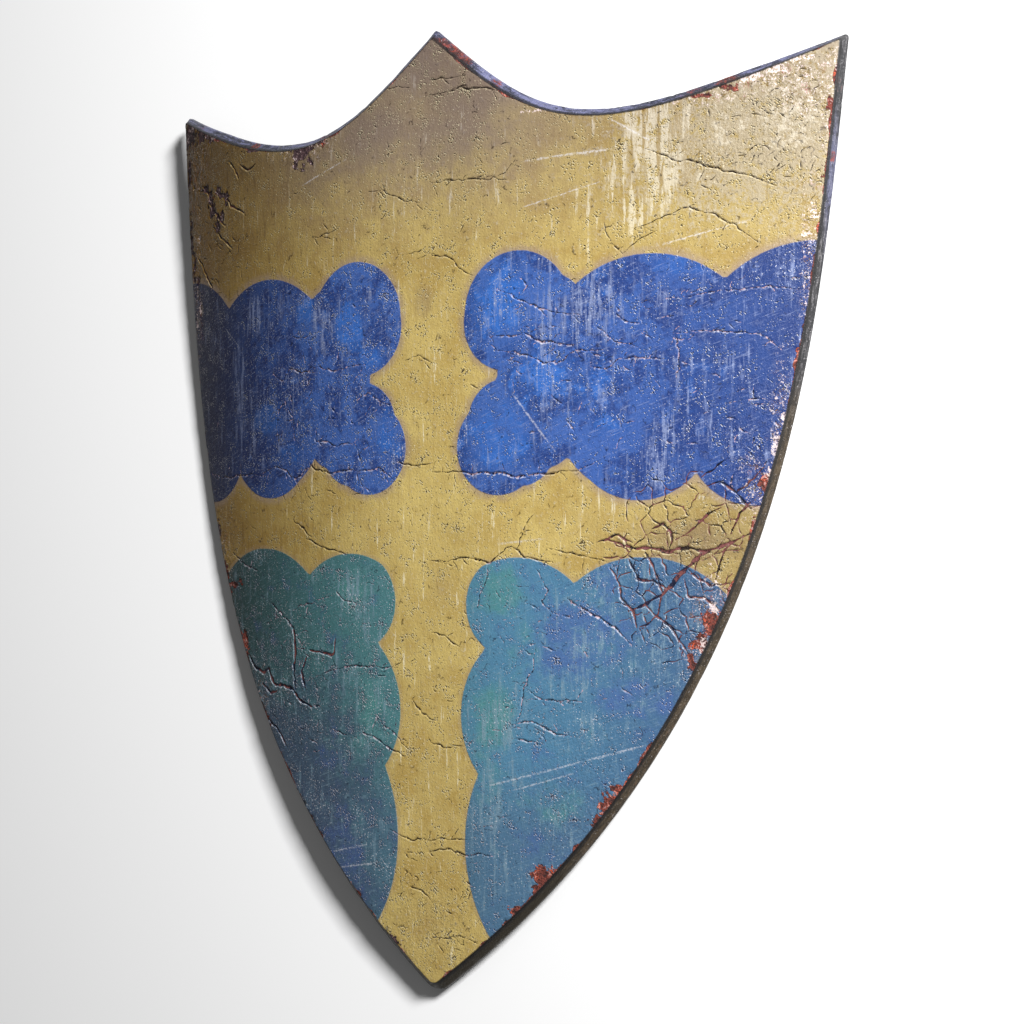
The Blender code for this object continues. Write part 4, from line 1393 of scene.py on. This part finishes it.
def makeFloor():
    mesh, half = bpy.data.meshes.new("floor"), studio["floorHalf"]
    corners = [(-half, -half, 0), (half, -half, 0), (half, half, 0), (-half, half, 0)]
    mesh.from_pydata(corners, [], [(0, 1, 2, 3)])
    floor = bpy.data.objects.new("floor", mesh)
    bpy.context.scene.collection.objects.link(floor)
    material, shader, _ = newMaterial("palePaper")
    shader.inputs["Base Color"].default_value = studio["floor"]
    shader.inputs["Roughness"].default_value = studio["floorRoughness"]
    mesh.materials.append(material)


def makeLights():
    world = bpy.data.worlds.new("studio")
    world.use_nodes = True
    world.node_tree.nodes["Background"].inputs["Color"].default_value = (1, 1, 1, 1)
    world.node_tree.nodes["Background"].inputs["Strength"].default_value = studio["world"]
    bpy.context.scene.world = world
    sizes = studio["key"]
    light = bpy.data.lights.new("softBox", "AREA")
    light.size, light.energy = sizes["size"], sizes["power"]
    lamp = bpy.data.objects.new("softBox", light)
    lamp.location = sizes["place"]
    lamp.rotation_euler = Vector(sizes["place"]).to_track_quat("Z", "Y").to_euler()
    bpy.context.scene.collection.objects.link(lamp)


def makeCamera():
    # Stands to the right of the face's middle and looks back at it. On the flat board's axes its
    # right, up and back directions are the columns of a matrix, which the board's place then turns.
    turn = view["turn"] + view["yaw"]
    ahead = Vector((-math.sin(turn), 0, -math.cos(turn)))
    right = Vector((math.cos(turn), 0, -math.sin(turn)))
    up = Vector((0, 1, 0))
    look = ahead * math.cos(view["pitch"]) + up * math.sin(view["pitch"])
    tall = up * math.cos(view["pitch"]) - ahead * math.sin(view["pitch"])
    wide = right * math.cos(view["roll"]) + tall * math.sin(view["roll"])
    tall = tall * math.cos(view["roll"]) - right * math.sin(view["roll"])
    place = Matrix((wide, tall, -look)).transposed().to_4x4()
    place.translation = (view["distance"] * math.sin(view["turn"]), view["rise"],
                         view["distance"] * math.cos(view["turn"]))
    lens = bpy.data.cameras.new("camera")
    lens.lens, lens.sensor_width, lens.clip_start = view["lens"], view["sensor"], view["nearest"]
    camera = bpy.data.objects.new("camera", lens)
    camera.matrix_world = boardPlace() @ place
    bpy.context.scene.collection.objects.link(camera)
    bpy.context.scene.camera = camera


makeCamera()
makeLights()
makeFloor()
bpy.context.scene.view_settings.view_transform = "Standard"
print("stage made")

paintCoat = makeCoat(paintMaterial())
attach(paintCoat, "root")

steelBoard = makeBoard(steelMaterial())
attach(steelBoard, "root")
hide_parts("shield")
print("board made")
